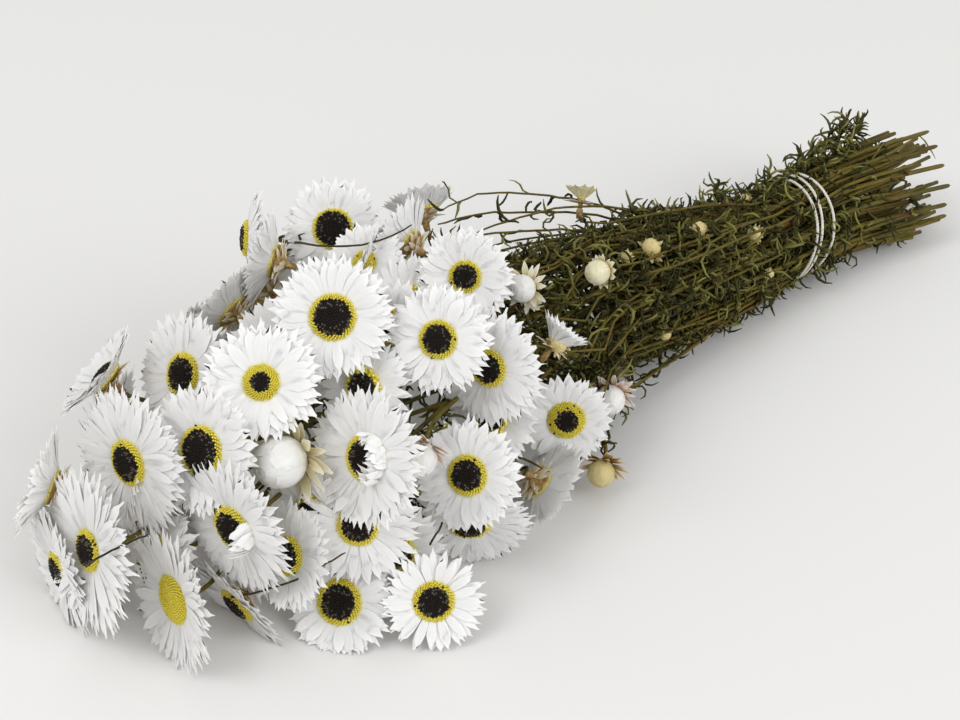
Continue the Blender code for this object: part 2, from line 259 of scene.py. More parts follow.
# Thin dark stray stems that cross in front of the flowers, as way points from the middle
# of the tie (mm).
STRAYS = (
    ((-369, -6, 21), (-365, -12, 27), (-358, -16, 31), (-350, -16, 30)),
    ((-327, -29, -6), (-322, -42, 4), (-310, -50, 9), (-303, -57, 17), (-294, -56, 16)),
    ((-268, -72, 16), (-254, -61, 9), (-249, -57, 11), (-243, -52, 9)),
    ((-257, -46, 42), (-250, -50, 44), (-241, -49, 42)),
    ((-244, 39, 79), (-236, 29, 79), (-225, 21, 79), (-214, 16, 81), (-204, 17, 81)),
)

# How leafy the bunch is up to a distance from the tie toward the flowers (mm); beyond the
# last one it thins out.
LEAFY_STRETCHES = ((-66, 0.02), (-32, 0.14), (6, 0.6), (185, 1.0))

# Tufts that stand up from the bundle, as root and tip from the middle of the tie (mm).
TUFTS = (
    ((44, 8, 16), (66, 14, 30)), ((40, 10, 15), (58, 18, 28)), ((38, 4, 18), (54, 8, 28)),
    ((34, 12, 14), (50, 20, 24)), ((20, 10, 18), (28, 12, 26)), ((8, 6, 20), (16, 8, 27)),
    ((-14, 4, 20), (-8, 6, 28)), ((-70, 14, 24), (-82, 18, 34)), ((-30, 16, 16), (-26, 22, 24)),
)


# ---- Colour and nodes -------------------------------------------------------------
def linear(hex_colour):
    """Linear red, green and blue of an sRGB colour such as #A0B0C0."""
    values = [int(hex_colour[i:i + 2], 16) / 255 for i in (1, 3, 5)]
    return [v / 12.92 if v <= 0.04045 else ((v + 0.055) / 1.055) ** 2.4 for v in values]


def opaque(colour):
    """Four numbers of a colour, as a node's socket takes it."""
    return (*colour[:3], 1.0)


def add_node(tree, kind, values=None, links=None, **settings):
    """Add a node: its options, the values of its sockets, and what feeds each socket."""
    node = tree.nodes.new(kind)
    for name, value in settings.items():
        setattr(node, name, value)
    for socket, value in (values or {}).items():
        node.inputs[socket].default_value = value
    for socket, source in (links or {}).items():
        tree.links.new(source, node.inputs[socket])
    return node


def new_material(name, **values):
    """A Principled material with its constants set; the caller feeds colour and bump."""
    material = bpy.data.materials.new(name)
    material.use_nodes = True
    shader = material.node_tree.nodes["Principled BSDF"]
    for socket, value in values.items():
        title = socket.replace("_", " ").title().replace("Ior", "IOR")
        shader.inputs[title].default_value = value
    return material, material.node_tree, shader


# ---- Materials --------------------------------------------------------------------
def lay_over(tree, under, colour, mask, start, end, most=1.0, blend="MIX"):
    """Lay a colour over the one under it, more and more as a mask runs from start to end.

    The one under it is a colour, or the socket that gives one.
    """
    share = add_node(
        tree, "ShaderNodeMapRange", {"From Min": start, "From Max": end, "To Max": most},
        {"Value": mask},
    )
    # Of a mix of colours, socket 0 is the factor, 6 and 7 are the colours, output 2 the mix.
    mixed = add_node(
        tree, "ShaderNodeMix", {7: opaque(colour)}, {0: share.outputs["Result"]},
        data_type="RGBA", blend_type=blend,
    )
    if isinstance(under, bpy.types.NodeSocket):
        tree.links.new(under, mixed.inputs[6])
    else:
        mixed.inputs[6].default_value = opaque(under)
    return mixed.outputs[2]


def dress(tree, shader, colour, height, strength, depth):
    """Feed the shader its colour, and its relief of a strength and a depth (mm)."""
    bump = add_node(
        tree, "ShaderNodeBump", {"Strength": strength, "Distance": depth * MM},
        {"Height": height},
    )
    tree.links.new(colour, shader.inputs["Base Color"])
    tree.links.new(bump.outputs["Normal"], shader.inputs["Normal"])


def blade_pattern(tree, along, across, roughness=0.5):
    """What the finish of a blade reads: its map, the share along it, its ribs and its tone.

    The ribs repeat this often along and across the blade.
    """
    blade = add_node(tree, "ShaderNodeUVMap", uv_map="blade").outputs["UV"]
    split = add_node(tree, "ShaderNodeSeparateXYZ", links={"Vector": blade})
    own = add_node(tree, "ShaderNodeAttribute", attribute_name="own_shade")
    lines = add_node(
        tree, "ShaderNodeMapping", {"Scale": (along, across, 1)}, {"Vector": blade}
    )
    ribs = add_node(
        tree, "ShaderNodeTexNoise", {"Scale": 1.0, "Detail": 2, "Roughness": roughness},
        {"Vector": lines.outputs["Vector"]},
    )
    return blade, split.outputs["X"], ribs.outputs["Fac"], own.outputs["Fac"]


def dried_petal(name, colour, shade):
    """Dried papery petal: chalk-white and silky, ribbed along, greyer where it is thin.

    Light passes through it, so a flower seen from behind stays white.
    """
    material, tree, shader = new_material(
        name, roughness=0.55, ior=1.47, subsurface_weight=0.36,
        subsurface_scale=0.8 * MM, subsurface_radius=(1.0, 0.99, 0.97),
    )
    # Ribs 0.6 mm apart on a petal 4.8 mm wide: 8 across it, drawn twice as coarse as the
    # real ones so that they show.
    blade, along, ribs, own = blade_pattern(tree, 0.9, 8)
    blotches = add_node(
        tree, "ShaderNodeTexNoise", {"Scale": 2.2, "Detail": 2}, {"Vector": blade}
    )
    ribbed = lay_over(tree, colour, shade, ribs, 0.40, 1.2)
    toned = lay_over(tree, ribbed, shade, own, 0.3, 3.2)
    worn = lay_over(tree, toned, linear("#E6E3DA"), blotches.outputs["Fac"], 0.48, 1.4)
    # The throat of the flower is tinted by its pollen over the first tenth of a petal.
    done = lay_over(tree, worn, linear("#E4DFA6"), along, 0.11, 0.0)
    dress(tree, shader, done, ribs, 0.6, 0.08)
    return material


def papery_bract(name, root, middle, edge):
    """Papery bract: straw-gold and satiny, brown at its root, pale at its thin tip."""
    material, tree, shader = new_material(
        name, roughness=0.42, ior=1.47, subsurface_weight=0.25,
        subsurface_scale=1.0 * MM, subsurface_radius=(1.0, 0.8, 0.5),
    )
    # Ribs 0.3 mm apart on a bract 3 mm wide: 10 across it.
    _, along, ribs, own = blade_pattern(tree, 0.9, 10, 0.6)
    warm = lay_over(tree, root, middle, along, 0.0, 0.35)
    pale = lay_over(tree, warm, edge, along, 0.35, 0.85)
    streaked = lay_over(tree, pale, root, ribs, 0.5, 0.95)
    done = lay_over(tree, streaked, edge, own, 0.35, 1.7)
    dress(tree, shader, done, ribs, 0.8, 0.12)
    return material


def bud_scale(name, colour, shade, flush):
    """Bud scale: smooth and shell-like, creamy white, darker at its root, faintly flushed."""
    material, tree, shader = new_material(
        name, roughness=0.40, ior=1.47, subsurface_weight=0.3,
        subsurface_scale=1.5 * MM, subsurface_radius=(1.0, 0.9, 0.75),
    )
    # Veins 0.7 mm apart on a scale 8 mm wide: 12 across it.
    blade, along, veins, own = blade_pattern(tree, 0.8, 12)
    patches = add_node(
        tree, "ShaderNodeTexNoise", {"Scale": 2.5, "Detail": 2}, {"Vector": blade}
    )
    rooted = lay_over(tree, colour, shade, along, 0.5, 0.0)
    veined = lay_over(tree, rooted, shade, veins, 0.45, 1.3)
    flushed = lay_over(tree, veined, flush, patches.outputs["Fac"], 0.55, 1.6)
    done = lay_over(tree, flushed, shade, own, 0.3, 3.0)
    dress(tree, shader, done, veins, 0.4, 0.06)
    return material


def dry_grain(name, colour, shade, grain, roughness):
    """Dry granular plant surface, as of packed florets: matt, its grain tone darkened by
    painted crevice shade in the low spots of its relief.

    The grain is its width in millimetres.
    """
    material, tree, shader = new_material(name, roughness=roughness, ior=1.46)
    place = add_node(tree, "ShaderNodeTexCoord").outputs["Object"]
    grain_and_crevice_shade = add_node(
        tree, "ShaderNodeTexNoise", {"Scale": 1 / (grain * MM), "Detail": 2},
        {"Vector": place},
    ).outputs["Fac"]
    # Painted crevice shade: the shade colour lies where the grain relief is low, over the
    # grain's own tone.
    done = lay_over(tree, shade, colour, grain_and_crevice_shade, 0.35, 0.65)
    dress(tree, shader, done, grain_and_crevice_shade, 0.7, 0.12)
    return material


def packed_floret(dark, yellow):
    """Dried florets: near-black and matt, or lemon-yellow, dusted here and there."""
    material, tree, shader = new_material(
        "packed_floret", roughness=0.75, ior=1.46, specular_ior_level=0.3
    )
    place = add_node(tree, "ShaderNodeTexCoord").outputs["Object"]
    own = add_node(tree, "ShaderNodeAttribute", attribute_name="own_shade").outputs["Fac"]
    # Grains 0.5 mm wide: their relief, and painted crevice shade that darkens the florets where
    # that relief is low.
    grain_and_crevice_shade = add_node(
        tree, "ShaderNodeTexNoise", {"Scale": 1 / (0.5 * MM), "Detail": 2},
        {"Vector": place},
    ).outputs["Fac"]
    dusted = lay_over(tree, dark, linear("#6E685F"), own, 0.0, 0.5)
    floret = lay_over(tree, dusted, yellow, own, 0.5, 1.0)
    # Painted crevice shade: the florets are multiplied darker where the grain relief is low.
    done = lay_over(
        tree, floret, linear("#CDBB86"), grain_and_crevice_shade, 0.65, 0.35, most=0.75, blend="MULTIPLY"
    )
    dress(tree, shader, done, grain_and_crevice_shade, 0.6, 0.1)
    return material


def dried_bark(name, green, golden, russet):
    """Dried flower stem: grooved along, olive to straw-brown, with russet stretches.

    Its dry skin is dull, so that it mirrors little of the room.
    """
    material, tree, shader = new_material(
        name, roughness=0.6, ior=1.45, specular_ior_level=0.25
    )
    place = add_node(tree, "ShaderNodeTexCoord").outputs["Object"]
    # Colour drifts over about 30 mm of stem.
    long_way = add_node(
        tree, "ShaderNodeMapping", {"Scale": (0.35, 1, 1)}, {"Vector": place}
    ).outputs["Vector"]
    drift = add_node(
        tree, "ShaderNodeTexNoise", {"Scale": 1 / (12 * MM), "Detail": 2},
        {"Vector": long_way},
    )
    patch = add_node(
        tree, "ShaderNodeTexNoise", {"Scale": 1 / (8 * MM), "Detail": 2, "W": 3.0},
        {"Vector": long_way}, noise_dimensions="4D",
    )
    # Grooves are 0.5 mm apart and some 20 mm long.
    fine_way = add_node(
        tree, "ShaderNodeMapping", {"Scale": (0.03, 1, 1)}, {"Vector": place}
    )
    groove = add_node(
        tree, "ShaderNodeTexNoise", {"Scale": 1 / (0.5 * MM), "Detail": 2},
        {"Vector": fine_way.outputs["Vector"]},
    ).outputs["Fac"]
    ripe = lay_over(tree, green, golden, drift.outputs["Fac"], 0.40, 0.60)
    aged = lay_over(tree, ripe, russet, patch.outputs["Fac"], 0.54, 0.70)
    done = lay_over(tree, aged, linear("#2E260F"), groove, 0.45, 0.85)
    dress(tree, shader, done, groove, 0.8, 0.25)
    return material


def dried_leaf(dark, middle, light):
    """Thread-like dried leaf: dull olive, each one its own tone, finely wrinkled."""
    material, tree, shader = new_material(
        "dried_leaf", roughness=0.65, ior=1.45, specular_ior_level=0.25
    )
    place = add_node(tree, "ShaderNodeTexCoord").outputs["Object"]
    own = add_node(tree, "ShaderNodeAttribute", attribute_name="own_shade").outputs["Fac"]
    # Wrinkles 0.6 mm apart, and dull patches 4 mm long.
    wrinkle, patch = (
        add_node(
            tree, "ShaderNodeTexNoise", {"Scale": 1 / (size * MM), "Detail": 2},
            {"Vector": place},
        ).outputs["Fac"]
        for size in (0.6, 4)
    )
    olive = lay_over(tree, dark, middle, own, 0.0, 0.7)
    bright = lay_over(tree, olive, light, own, 0.62, 1.0)
    done = lay_over(tree, bright, dark, patch, 0.5, 0.9)
    dress(tree, shader, done, wrinkle, 0.6, 0.15)
    return material


def cotton_cord(colour, shade):
    """Thin cotton tie: matt, off-white, fibrous, a little soiled where it was handled."""
    material, tree, shader = new_material(
        "twisted_cotton", roughness=0.85, ior=1.5, sheen_weight=0.3
    )
    place = add_node(tree, "ShaderNodeTexCoord").outputs["Object"]
    # Fibres 0.25 mm thick, and soiled spots 4 mm long.
    fibre, soil = (
        add_node(
            tree, "ShaderNodeTexNoise", {"Scale": 1 / (size * MM), "Detail": detail},
            {"Vector": place},
        ).outputs["Fac"]
        for size, detail in ((0.25, 3), (4, 2))
    )
    fibrous = lay_over(tree, colour, shade, fibre, 0.35, 0.75)
    done = lay_over(tree, fibrous, linear("#C9BE9C"), soil, 0.48, 0.85)
    dress(tree, shader, done, fibre, 0.8, 0.12)
    return material


def matt_board(near, far, reach):
    """Pale matt card that the bunch lies on: warm white, with painted shade that makes it a
    touch greyer further back, in place of the lamps' falloff.
    """
    material, tree, shader = new_material(
        "pale_matt_board", roughness=0.9, ior=1.45, specular_ior_level=0.02
    )
    place = add_node(tree, "ShaderNodeTexCoord").outputs["Object"]
    split = add_node(tree, "ShaderNodeSeparateXYZ", links={"Vector": place})
    back = add_node(
        tree, "ShaderNodeMath", links={0: split.outputs["X"], 1: split.outputs["Y"]},
        operation="ADD",
    )
    # The card's fibres are some 1.5 mm long.
    fibre = add_node(
        tree, "ShaderNodeTexNoise", {"Scale": 1 / (1.5 * MM), "Detail": 3},
        {"Vector": place},
    )
    # Painted shade: the board's colour runs from the near one to the greyer far one, front to
    # back.
    toned = lay_over(tree, near, far, back.outputs[0], -reach, reach)
    dress(tree, shader, toned, fibre.outputs["Fac"], 0.3, 0.02)
    return material


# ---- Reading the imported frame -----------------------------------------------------
def welded(node):
    """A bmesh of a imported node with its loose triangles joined."""
    bm = bmesh.new()
    bm.from_mesh(NODES[node].data)
    bmesh.ops.remove_doubles(bm, verts=bm.verts, dist=WELD)
    return bm


def axis_of(node):
    """Apex, unit axis and back-to-front length of a turned solid, and its apex ring radius.

    The apex is the point whose edges are all equally long; the solid's middle lies on
    its axis.
    """
    bm = welded(node)
    middle = sum((vert.co for vert in bm.verts), Vector()) / len(bm.verts)

    def unevenness(vert):
        lengths = [edge.calc_length() for edge in vert.link_edges]
        return (max(lengths) - min(lengths)) / max(lengths)

    apex = min((v for v in bm.verts if len(v.link_edges) > 7), key=unevenness)
    axis = (apex.co - middle).normalized()
    heights = [(vert.co - apex.co).dot(axis) for vert in bm.verts]
    reaches = [(v.co - apex.co - axis * h).length for v, h in zip(bm.verts, heights)]
    neighbour = apex.link_edges[0].other_vert(apex)
    ring = (neighbour.co - apex.co - axis * (neighbour.co - apex.co).dot(axis)).length
    found = apex.co.copy(), axis, -min(heights), ring, max(reaches)
    bm.free()
    return found


def stood(place, axis):
    """Matrix that stands a shape at a place with its +Z along an axis."""
    return Matrix.Translation(place) @ axis.to_track_quat("Z", "Y").to_matrix().to_4x4()


def head_seat(node):
    """Where a flower head sits: its petal plane faces +Z of the matrix."""
    apex, axis, length, ring, reach = axis_of(node)
    middle = apex - axis * length * (1 - CUP_SHARE)
    return Seat(node, stood(middle, axis), ring / DARK_SHARE, reach)


def bud_seat(node):
    """Where a bud sits: its tip points to +Z of the matrix."""
    apex, axis, length, _, _ = axis_of(node)
    middle = apex - axis * length * (1 - BUD_SHARE)
    radius = length / BUD_LENGTH
    return Seat(node, stood(middle, axis), radius, radius)


def young_seats():
    """Places for the small young flowers between the stems."""
    seats = []
    for index, (place, heading, rise, disc, ruff) in enumerate(YOUNG_HEADS, 1):
        turn, tilt = radians(heading), radians(rise)
        way = Vector((cos(turn) * cos(tilt), sin(turn) * cos(tilt), sin(tilt)))
        matrix = stood(TIE_MIDDLE + Vector(place) * MM, way)
        seats.append(Seat(f"young_head_{index:02d}", matrix, disc * MM, ruff * MM))
    return seats


def inner_seats(seats, buds):
    """Places for half-hidden heads: low in the gaps between heads that face alike."""
    chances = []
    for first, second in combinations(seats, 2):
        place_a, place_b = first.matrix.translation, second.matrix.translation
        axis_a, axis_b = first.matrix.col[2].xyz, second.matrix.col[2].xyz
        gap = (place_a - place_b).length
        if not INNER_GAPS[0] < gap < INNER_GAPS[1] or axis_a.dot(axis_b) < INNER_ALIKE:
            continue
        axis = (axis_a + axis_b).normalized()
        place = (place_a + place_b) / 2 - axis * INNER_DROP
        top = place + axis * INNER_DROP
        taken = any((top - bud.matrix.translation).length < INNER_BUD_ROOM for bud in buds)
        if taken or place.z < INNER_LOWEST or place.x > TIE_MIDDLE.x - INNER_START:
            continue
        room = min((top - seat.matrix.translation).length for seat in seats)
        chances.append((room, place, axis))
    found = []
    for _, place, axis in sorted(chances, key=lambda row: -row[0]):
        if all((place - seat.matrix.translation).length > INNER_ROOM for seat in found):
            name = f"inner_head_{len(found) + 1:02d}"
            found.append(Seat(name, stood(place, axis), INNER_DISC, INNER_RUFF))
    return found[:INNER_HEADS]


def stem_samples(node, count):
    """Points spread evenly over a stem's skin, each with the way it faces there."""
    rng = Random(node)
    mesh = NODES[node].data
    faces = [face for face in mesh.polygons if face.area > 0]
    picked = rng.choices(faces, weights=[face.area for face in faces], k=count)
    samples = []
    for face in picked:
        a, b, c = (mesh.vertices[index].co for index in face.vertices)
        s, t = sqrt(rng.random()), rng.random()
        samples.append((a * (1 - s) + b * s * (1 - t) + c * s * t, face.normal.copy()))
    return samples


def bundle_sections():
    """Middle and half sizes of the stem bundle at stations along X."""
    samples = []
    for node in STEMS:
        samples += [point for point, _ in stem_samples(node, SECTION_SAMPLES)]
    sections = []
    for index in range(int((CAD_HIGH.x - CAD_LOW.x) / SECTION_STEP) + 1):
        along = CAD_LOW.x + index * SECTION_STEP
        near = [point for point in samples if abs(point.x - along) < SECTION_STEP]
        if len(near) < 12:
            continue
        sides = []
        for axis in (1, 2):
            values = sorted(point[axis] for point in near)
            # The outermost fortieth on each side is left out, as stray stems.
            cut = len(values) // 40
            lowest, highest = values[cut], values[-1 - cut]
            sides.append(((lowest + highest) / 2, (highest - lowest) / 2))
        (across, wide), (height, high) = sides
        sections.append((along, across, height, wide, high))
    return sections


def bundle_place(sections, along, angle, reach):
    """Point of the bundle: angle 0 is its near side (-Y), a quarter turn its top."""
    near = min(sections, key=lambda row: abs(row[0] - along))
    other = min(
        (row for row in sections if (row[0] - along) * (near[0] - along) <= 0),
        key=lambda row: abs(row[0] - along), default=near,
    )
    gap = other[0] - near[0]
    share = 0 if gap == 0 else (along - near[0]) / gap
    _, across, height, wide, high = (a + (b - a) * share for a, b in zip(near, other))
    return Vector((
        along, across - wide * reach * cos(angle), height + high * reach * sin(angle)
    ))


# ---- Shapes -----------------------------------------------------------------------
def above_table(point):
    """A point that bends away from the surface instead of passing through it."""
    if point.z < TABLE_SOFT:
        soft = TABLE_SOFT - TABLE_GAP
        rise = soft * exp((point.z - TABLE_SOFT) / soft)
        return Vector((point.x, point.y, TABLE_GAP + rise))
    return point


def blade_width(share, base, widest):
    """Width of a pointed blade at a share of its length, 1 at its widest."""
    if share < widest:
        return base + (1 - base) * sin(pi / 2 * share / widest)
    taper = (share - widest) / (1 - widest)
    return max(TIP_SHARE, 1 - taper ** 1.8)


def add_blade(bm, matrix, blade, root_radius, root_height, rng, grid=BLADE_GRID):
    """One thin pointed blade on a flower: it leaves the axis along the matrix's +X."""
    shades = bm.verts.layers.float["own_shade"]
    own = rng.random()
    tilt = rng.uniform(-0.06, 0.06)
    along, across = grid
    made = bmesh.ops.create_grid(
        bm, x_segments=along, y_segments=across, size=0.5, calc_uvs=True
    )
    for vert in made["verts"]:
        share = 1 - (0.5 - vert.co.x) ** 1.2
        side = vert.co.y * 2
        half = blade_width(share, blade.base, blade.widest) * blade.width / 2
        offset = side * half
        if share > 0.5:
            offset += rng.uniform(-0.05, 0.05) * blade.width
        if share > 0.95:
            share += (0.8 - 2.2 * abs(side) + rng.uniform(-1, 1)) * blade.torn
        angle = blade.start + blade.bend * share
        if abs(blade.bend) > 1e-3:
            out = (sin(angle) - sin(blade.start)) / blade.bend
            up = (cos(blade.start) - cos(angle)) / blade.bend
        else:
            out, up = cos(blade.start) * share, sin(blade.start) * share
        turn = blade.roll + blade.twist * share
        lift = blade.trough * half * side * side + offset * sin(turn)
        spot = Vector((
            root_radius + out * blade.length - lift * sin(angle),
            offset * cos(turn) + tilt * out * blade.length,
            root_height + up * blade.length + lift * cos(angle),
        ))
        vert.co = above_table(matrix @ spot)
        vert[shades] = own


def add_ring(bm, matrix, ring, rng, looseness=1.0, trough=0.16, base=0.42, widest=0.6,
             roll=0.0, torn=0.0, wave=(0.0, 0.0), grid=BLADE_GRID):
    """A ring of blades round a flower's axis, in a wave of a depth and a phase.

    Looseness is how much one blade differs from the next; roll, trough, base, widest and
    torn are as in Blade.
    """
    offset = rng.random()
    depth, phase = wave
    for index in range(ring.count):
        turn = 2 * pi * (index + offset + rng.uniform(-0.22, 0.22) * looseness) / ring.count
        waved = depth * (sin(3 * turn + phase) + 0.7 * sin(7 * turn + 2 * phase))
        blade = Blade(
            length=ring.length * rng.uniform(1 - 0.12 * looseness, 1 + 0.06 * looseness),
            width=ring.width * rng.uniform(0.8, 1.15),
            start=ring.start + waved + rng.uniform(-0.05, 0.05) * looseness,
            bend=ring.bend - waved + rng.uniform(-0.12, 0.12) * looseness,
            twist=rng.uniform(-0.2, 0.2) * looseness,
            roll=roll + rng.uniform(-0.03, 0.03) * looseness,
            trough=trough + rng.uniform(-0.06, 0.06) * looseness,
            base=base, widest=widest, torn=torn,
        )
        turned = matrix @ Matrix.Rotation(turn, 4, "Z")
        add_blade(bm, turned, blade, ring.root_radius, ring.root_height, rng, grid)


def add_hugging_scale(bm, matrix, radius, back, span, turn, width, lift):
    """A broad scale that follows an egg from an angle off its back, over a span."""
    shades = bm.verts.layers.float["own_shade"]
    own = (turn * 7.3) % 1
    grid = bmesh.ops.create_grid(
        bm, x_segments=5, y_segments=4, size=0.5, calc_uvs=True
    )
    for vert in grid["verts"]:
        share = vert.co.x + 0.5
        side = vert.co.y * 2
        half = width / 2 * (1 - 0.72 * max(0.0, share - 0.35) ** 2 / 0.42)
        angle = back + span * share
        around = turn + side * half / (radius * max(sin(angle), 0.22))
        out = radius * (1 + lift * (0.3 + share) * (1 - 0.35 * side * side))
        tall = TIP_STRETCH if angle > pi / 2 else BUD_STRETCH
        vert.co = above_table(matrix @ Vector((
            out * sin(angle) * cos(around), out * sin(angle) * sin(around),
            -out * tall * cos(angle),
        )))
        vert[shades] = own


def blade_mesh():
    """A bmesh ready for blades: a UV map along each blade and a shade of its own."""
    bm = bmesh.new()
    bm.loops.layers.uv.new("blade")
    bm.verts.layers.float.new("own_shade")
    return bm


def add_turned(bm, matrix, profile, steps):
    """A closed turned body from (radius, height) points that start and end on the axis.

    What the bmesh already holds is tagged, and so is the new body once it stands.
    """
    verts = [bm.verts.new((radius, 0, height)) for radius, height in profile]
    edges = [bm.edges.new(pair) for pair in zip(verts, verts[1:])]
    bmesh.ops.spin(
        bm, geom=verts + edges, cent=(0, 0, 0), axis=(0, 0, 1), angle=2 * pi,
        steps=steps, use_merge=True, use_duplicate=False,
    )
    body = [vert for vert in bm.verts if not vert.tag]
    poles = [vert for vert in body if vert.co.x ** 2 + vert.co.y ** 2 < WELD ** 2]
    bmesh.ops.remove_doubles(bm, verts=poles, dist=WELD)
    body = [vert for vert in bm.verts if not vert.tag]
    faces = {face for vert in body for face in vert.link_faces}
    bmesh.ops.recalc_face_normals(bm, faces=list(faces))
    bmesh.ops.transform(bm, matrix=matrix, verts=body)
    for face in faces:
        face.smooth = True
    for vert in body:
        vert.co = above_table(vert.co)
        vert.tag = True


def finish_piece(name, bm, materials, nodes=(), thickness=0.0):
    """Make a smooth piece from a bmesh, ride it on the bunch and stand it for its nodes."""
    if thickness:
        # The cut edges of a sheet stay crisp, so that its face is shaded flat.
        for edge in bm.edges:
            edge.smooth = not edge.is_boundary
    mesh = bpy.data.meshes.new(name)
    bm.to_mesh(mesh)
    bm.free()
    for material in materials:
        mesh.materials.append(material)
    mesh.shade_smooth()
    piece = bpy.data.objects.new(name, mesh)
    bpy.context.scene.collection.objects.link(piece)
    if thickness:
        wall = piece.modifiers.new("paper_thickness", "SOLIDIFY")
        wall.thickness = thickness
        wall.offset = 0
    declare(piece, nodes)
    return piece


def declare(piece, nodes=()):
    """Ride a piece on the bunch and hide the imported nodes that it stands for."""
    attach(piece, BODY)
    if nodes:
        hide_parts(*nodes)


def threads(name, paths, sides, material, shades=None):
    """Closed round threads along paths of (point, radius), as one mesh piece."""
    curve = bpy.data.curves.new(name, "CURVE")
    curve.dimensions = "3D"
    curve.bevel_depth = 1.0
    curve.bevel_resolution = (sides - 4) // 2
    curve.use_fill_caps = True
    for path in paths:
        spline = curve.splines.new("POLY")
        spline.points.add(len(path) - 1)
        for point, (place, radius) in zip(spline.points, path):
            under = Vector((0, 0, radius))
            point.co = (*(above_table(place - under) + under), 1)
            point.radius = radius
    guide = bpy.data.objects.new(name + "_guide", curve)
    bpy.context.scene.collection.objects.link(guide)
    bpy.context.view_layer.update()
    graph = bpy.context.evaluated_depsgraph_get()
    mesh = bpy.data.meshes.new_from_object(guide.evaluated_get(graph))
    bpy.data.objects.remove(guide)
    mesh.name = name
    mesh.materials.clear()
    mesh.materials.append(material)
    if shades:
        # The mesh lists the two caps of each thread, from the last thread back, and then
        # the walls of each thread, from the first on.
        layer = mesh.attributes.new("own_shade", "FLOAT", "POINT")
        values = []
        for shade in reversed(shades):
            values += [shade] * (2 * sides)
        for path, shade in zip(paths, shades):
            values += [shade] * (len(path) * sides)
        layer.data.foreach_set("value", values)
    bm = bmesh.new()
    bm.from_mesh(mesh)
    bmesh.ops.remove_doubles(bm, verts=bm.verts, dist=WELD)
    bm.to_mesh(mesh)
    bm.free()
    mesh.shade_smooth()
    piece = bpy.data.objects.new(name, mesh)
    bpy.context.scene.collection.objects.link(piece)
    return piece


# ---- Settings ---------------------------------------------------------------------
def size_of(name, description, millimetres):
    """A length property."""
    return FloatProperty(
        name=name, description=description, default=millimetres * MM, min=0,
        unit="LENGTH", subtype="DISTANCE", precision=5,
    )


def colour_of(name, description, hex_colour):
    """A colour property."""
    return FloatVectorProperty(
        name=name, description=description, default=linear(hex_colour),
        subtype="COLOR", min=0, max=1,
    )


class DAISIES_PG_heads(bpy.types.PropertyGroup):
    petal_margin: size_of("Petal margin", "Petal reach at a disc of no width", 8.2)
    petal_growth: FloatProperty(
        name="Petal growth", description="Petal reach gained for each metre of disc radius",
        default=1.75, min=0, max=4, subtype="FACTOR",
    )
    petal_width: size_of("Petal width", "Greatest width of a petal", 4.8)
    petal_thickness: size_of("Petal thickness", "Thickness of the papery petals", 0.12)
    bract_thickness: size_of("Bract thickness", "Thickness of the papery bracts", 0.16)
    floret_count: IntProperty(
        name="Florets", description="Florets packed on the disc of one head",
        default=300, min=40, max=800,
    )
    petal: colour_of("Petal", "Colour of the petals", "#F6F5F3")
    petal_shade: colour_of("Petal shade", "Colour of the thin parts of the petals", "#DFE0E1")
    cream_petal: colour_of("Cream petal", "Colour of the petals of young flowers", "#EDE4B8")
    cream_petal_shade: colour_of("Cream shade", "Colour of their thin parts", "#CFC48C")
    dark_floret: colour_of("Dark florets", "Colour of the middle of the disc", "#27211C")
    yellow_floret: colour_of("Yellow florets", "Colour of the rim of the disc", "#F5E95C")
    bract_root: colour_of("Bract root", "Colour of a bract at its root", "#A0743A")
    bract: colour_of("Bract", "Colour of a bract in its middle", "#E0C898")
    bract_tip: colour_of("Bract tip", "Colour of a bract at its tip", "#F4EFE4")


class DAISIES_PG_buds(bpy.types.PropertyGroup):
    scale_thickness: size_of("Scale thickness", "Thickness of the scales of a bud", 0.14)
    scale: colour_of("Bud scale", "Colour of the scales of a large bud", "#F8F7F3")
    scale_shade: colour_of("Scale shade", "Colour of those scales at their root", "#E4DEC8")
    small_scale: colour_of("Small bud", "Colour of the small buds in the leaves", "#EBD894")


class DAISIES_PG_greens(bpy.types.PropertyGroup):
    leaves_per_stem: IntProperty(
        name="Leaves per stem", description="Thread-like leaves on each flowering stem",
        default=280, min=0, max=900,
    )
    leaves_per_fine_stem: IntProperty(
        name="Leaves per fine stem", description="Thread-like leaves on each thin stem",
        default=28, min=0, max=200,
    )
    leaf_length: size_of("Leaf length", "Length of a typical leaf", 10.5)
    leaf_radius: size_of("Leaf radius", "Half thickness of a leaf at its root", 0.66)
    fine_stems: IntProperty(
        name="Fine stems", description="Thin stems between the flowering ones",
        default=120, min=0, max=200,
    )
    fine_stem_radius: size_of("Fine stem radius", "Half thickness of a thin stem", 0.76)
    stem_green: colour_of("Stem green", "Colour of the greener stretches of stem", "#554F1C")
    stem_gold: colour_of("Stem gold", "Colour of the straw-coloured stretches", "#6C5D20")
    stem_russet: colour_of("Stem russet", "Colour of the oldest stretches", "#5C3D12")
    leaf_dark: colour_of("Dark leaf", "Colour of the dullest leaves", "#232108")
    leaf: colour_of("Leaf", "Colour of most leaves", "#454419")
    leaf_light: colour_of("Light leaf", "Colour of the brightest leaves", "#878344")


class DAISIES_PG_tie(bpy.types.PropertyGroup):
    ply_radius: size_of("Ply radius", "Half thickness of one ply of the cord", 0.34)
    ply_lay: size_of("Ply lay", "Length of cord in which a ply goes round once", 4.0)
    turns: IntProperty(
        name="Turns", description="Turns of the cord round the bunch", default=3, min=1, max=8
    )
    cord: colour_of("Cord", "Colour of the cotton cord", "#F1EFE9")
    cord_shade: colour_of("Cord shade", "Colour between its fibres", "#B9B4A6")


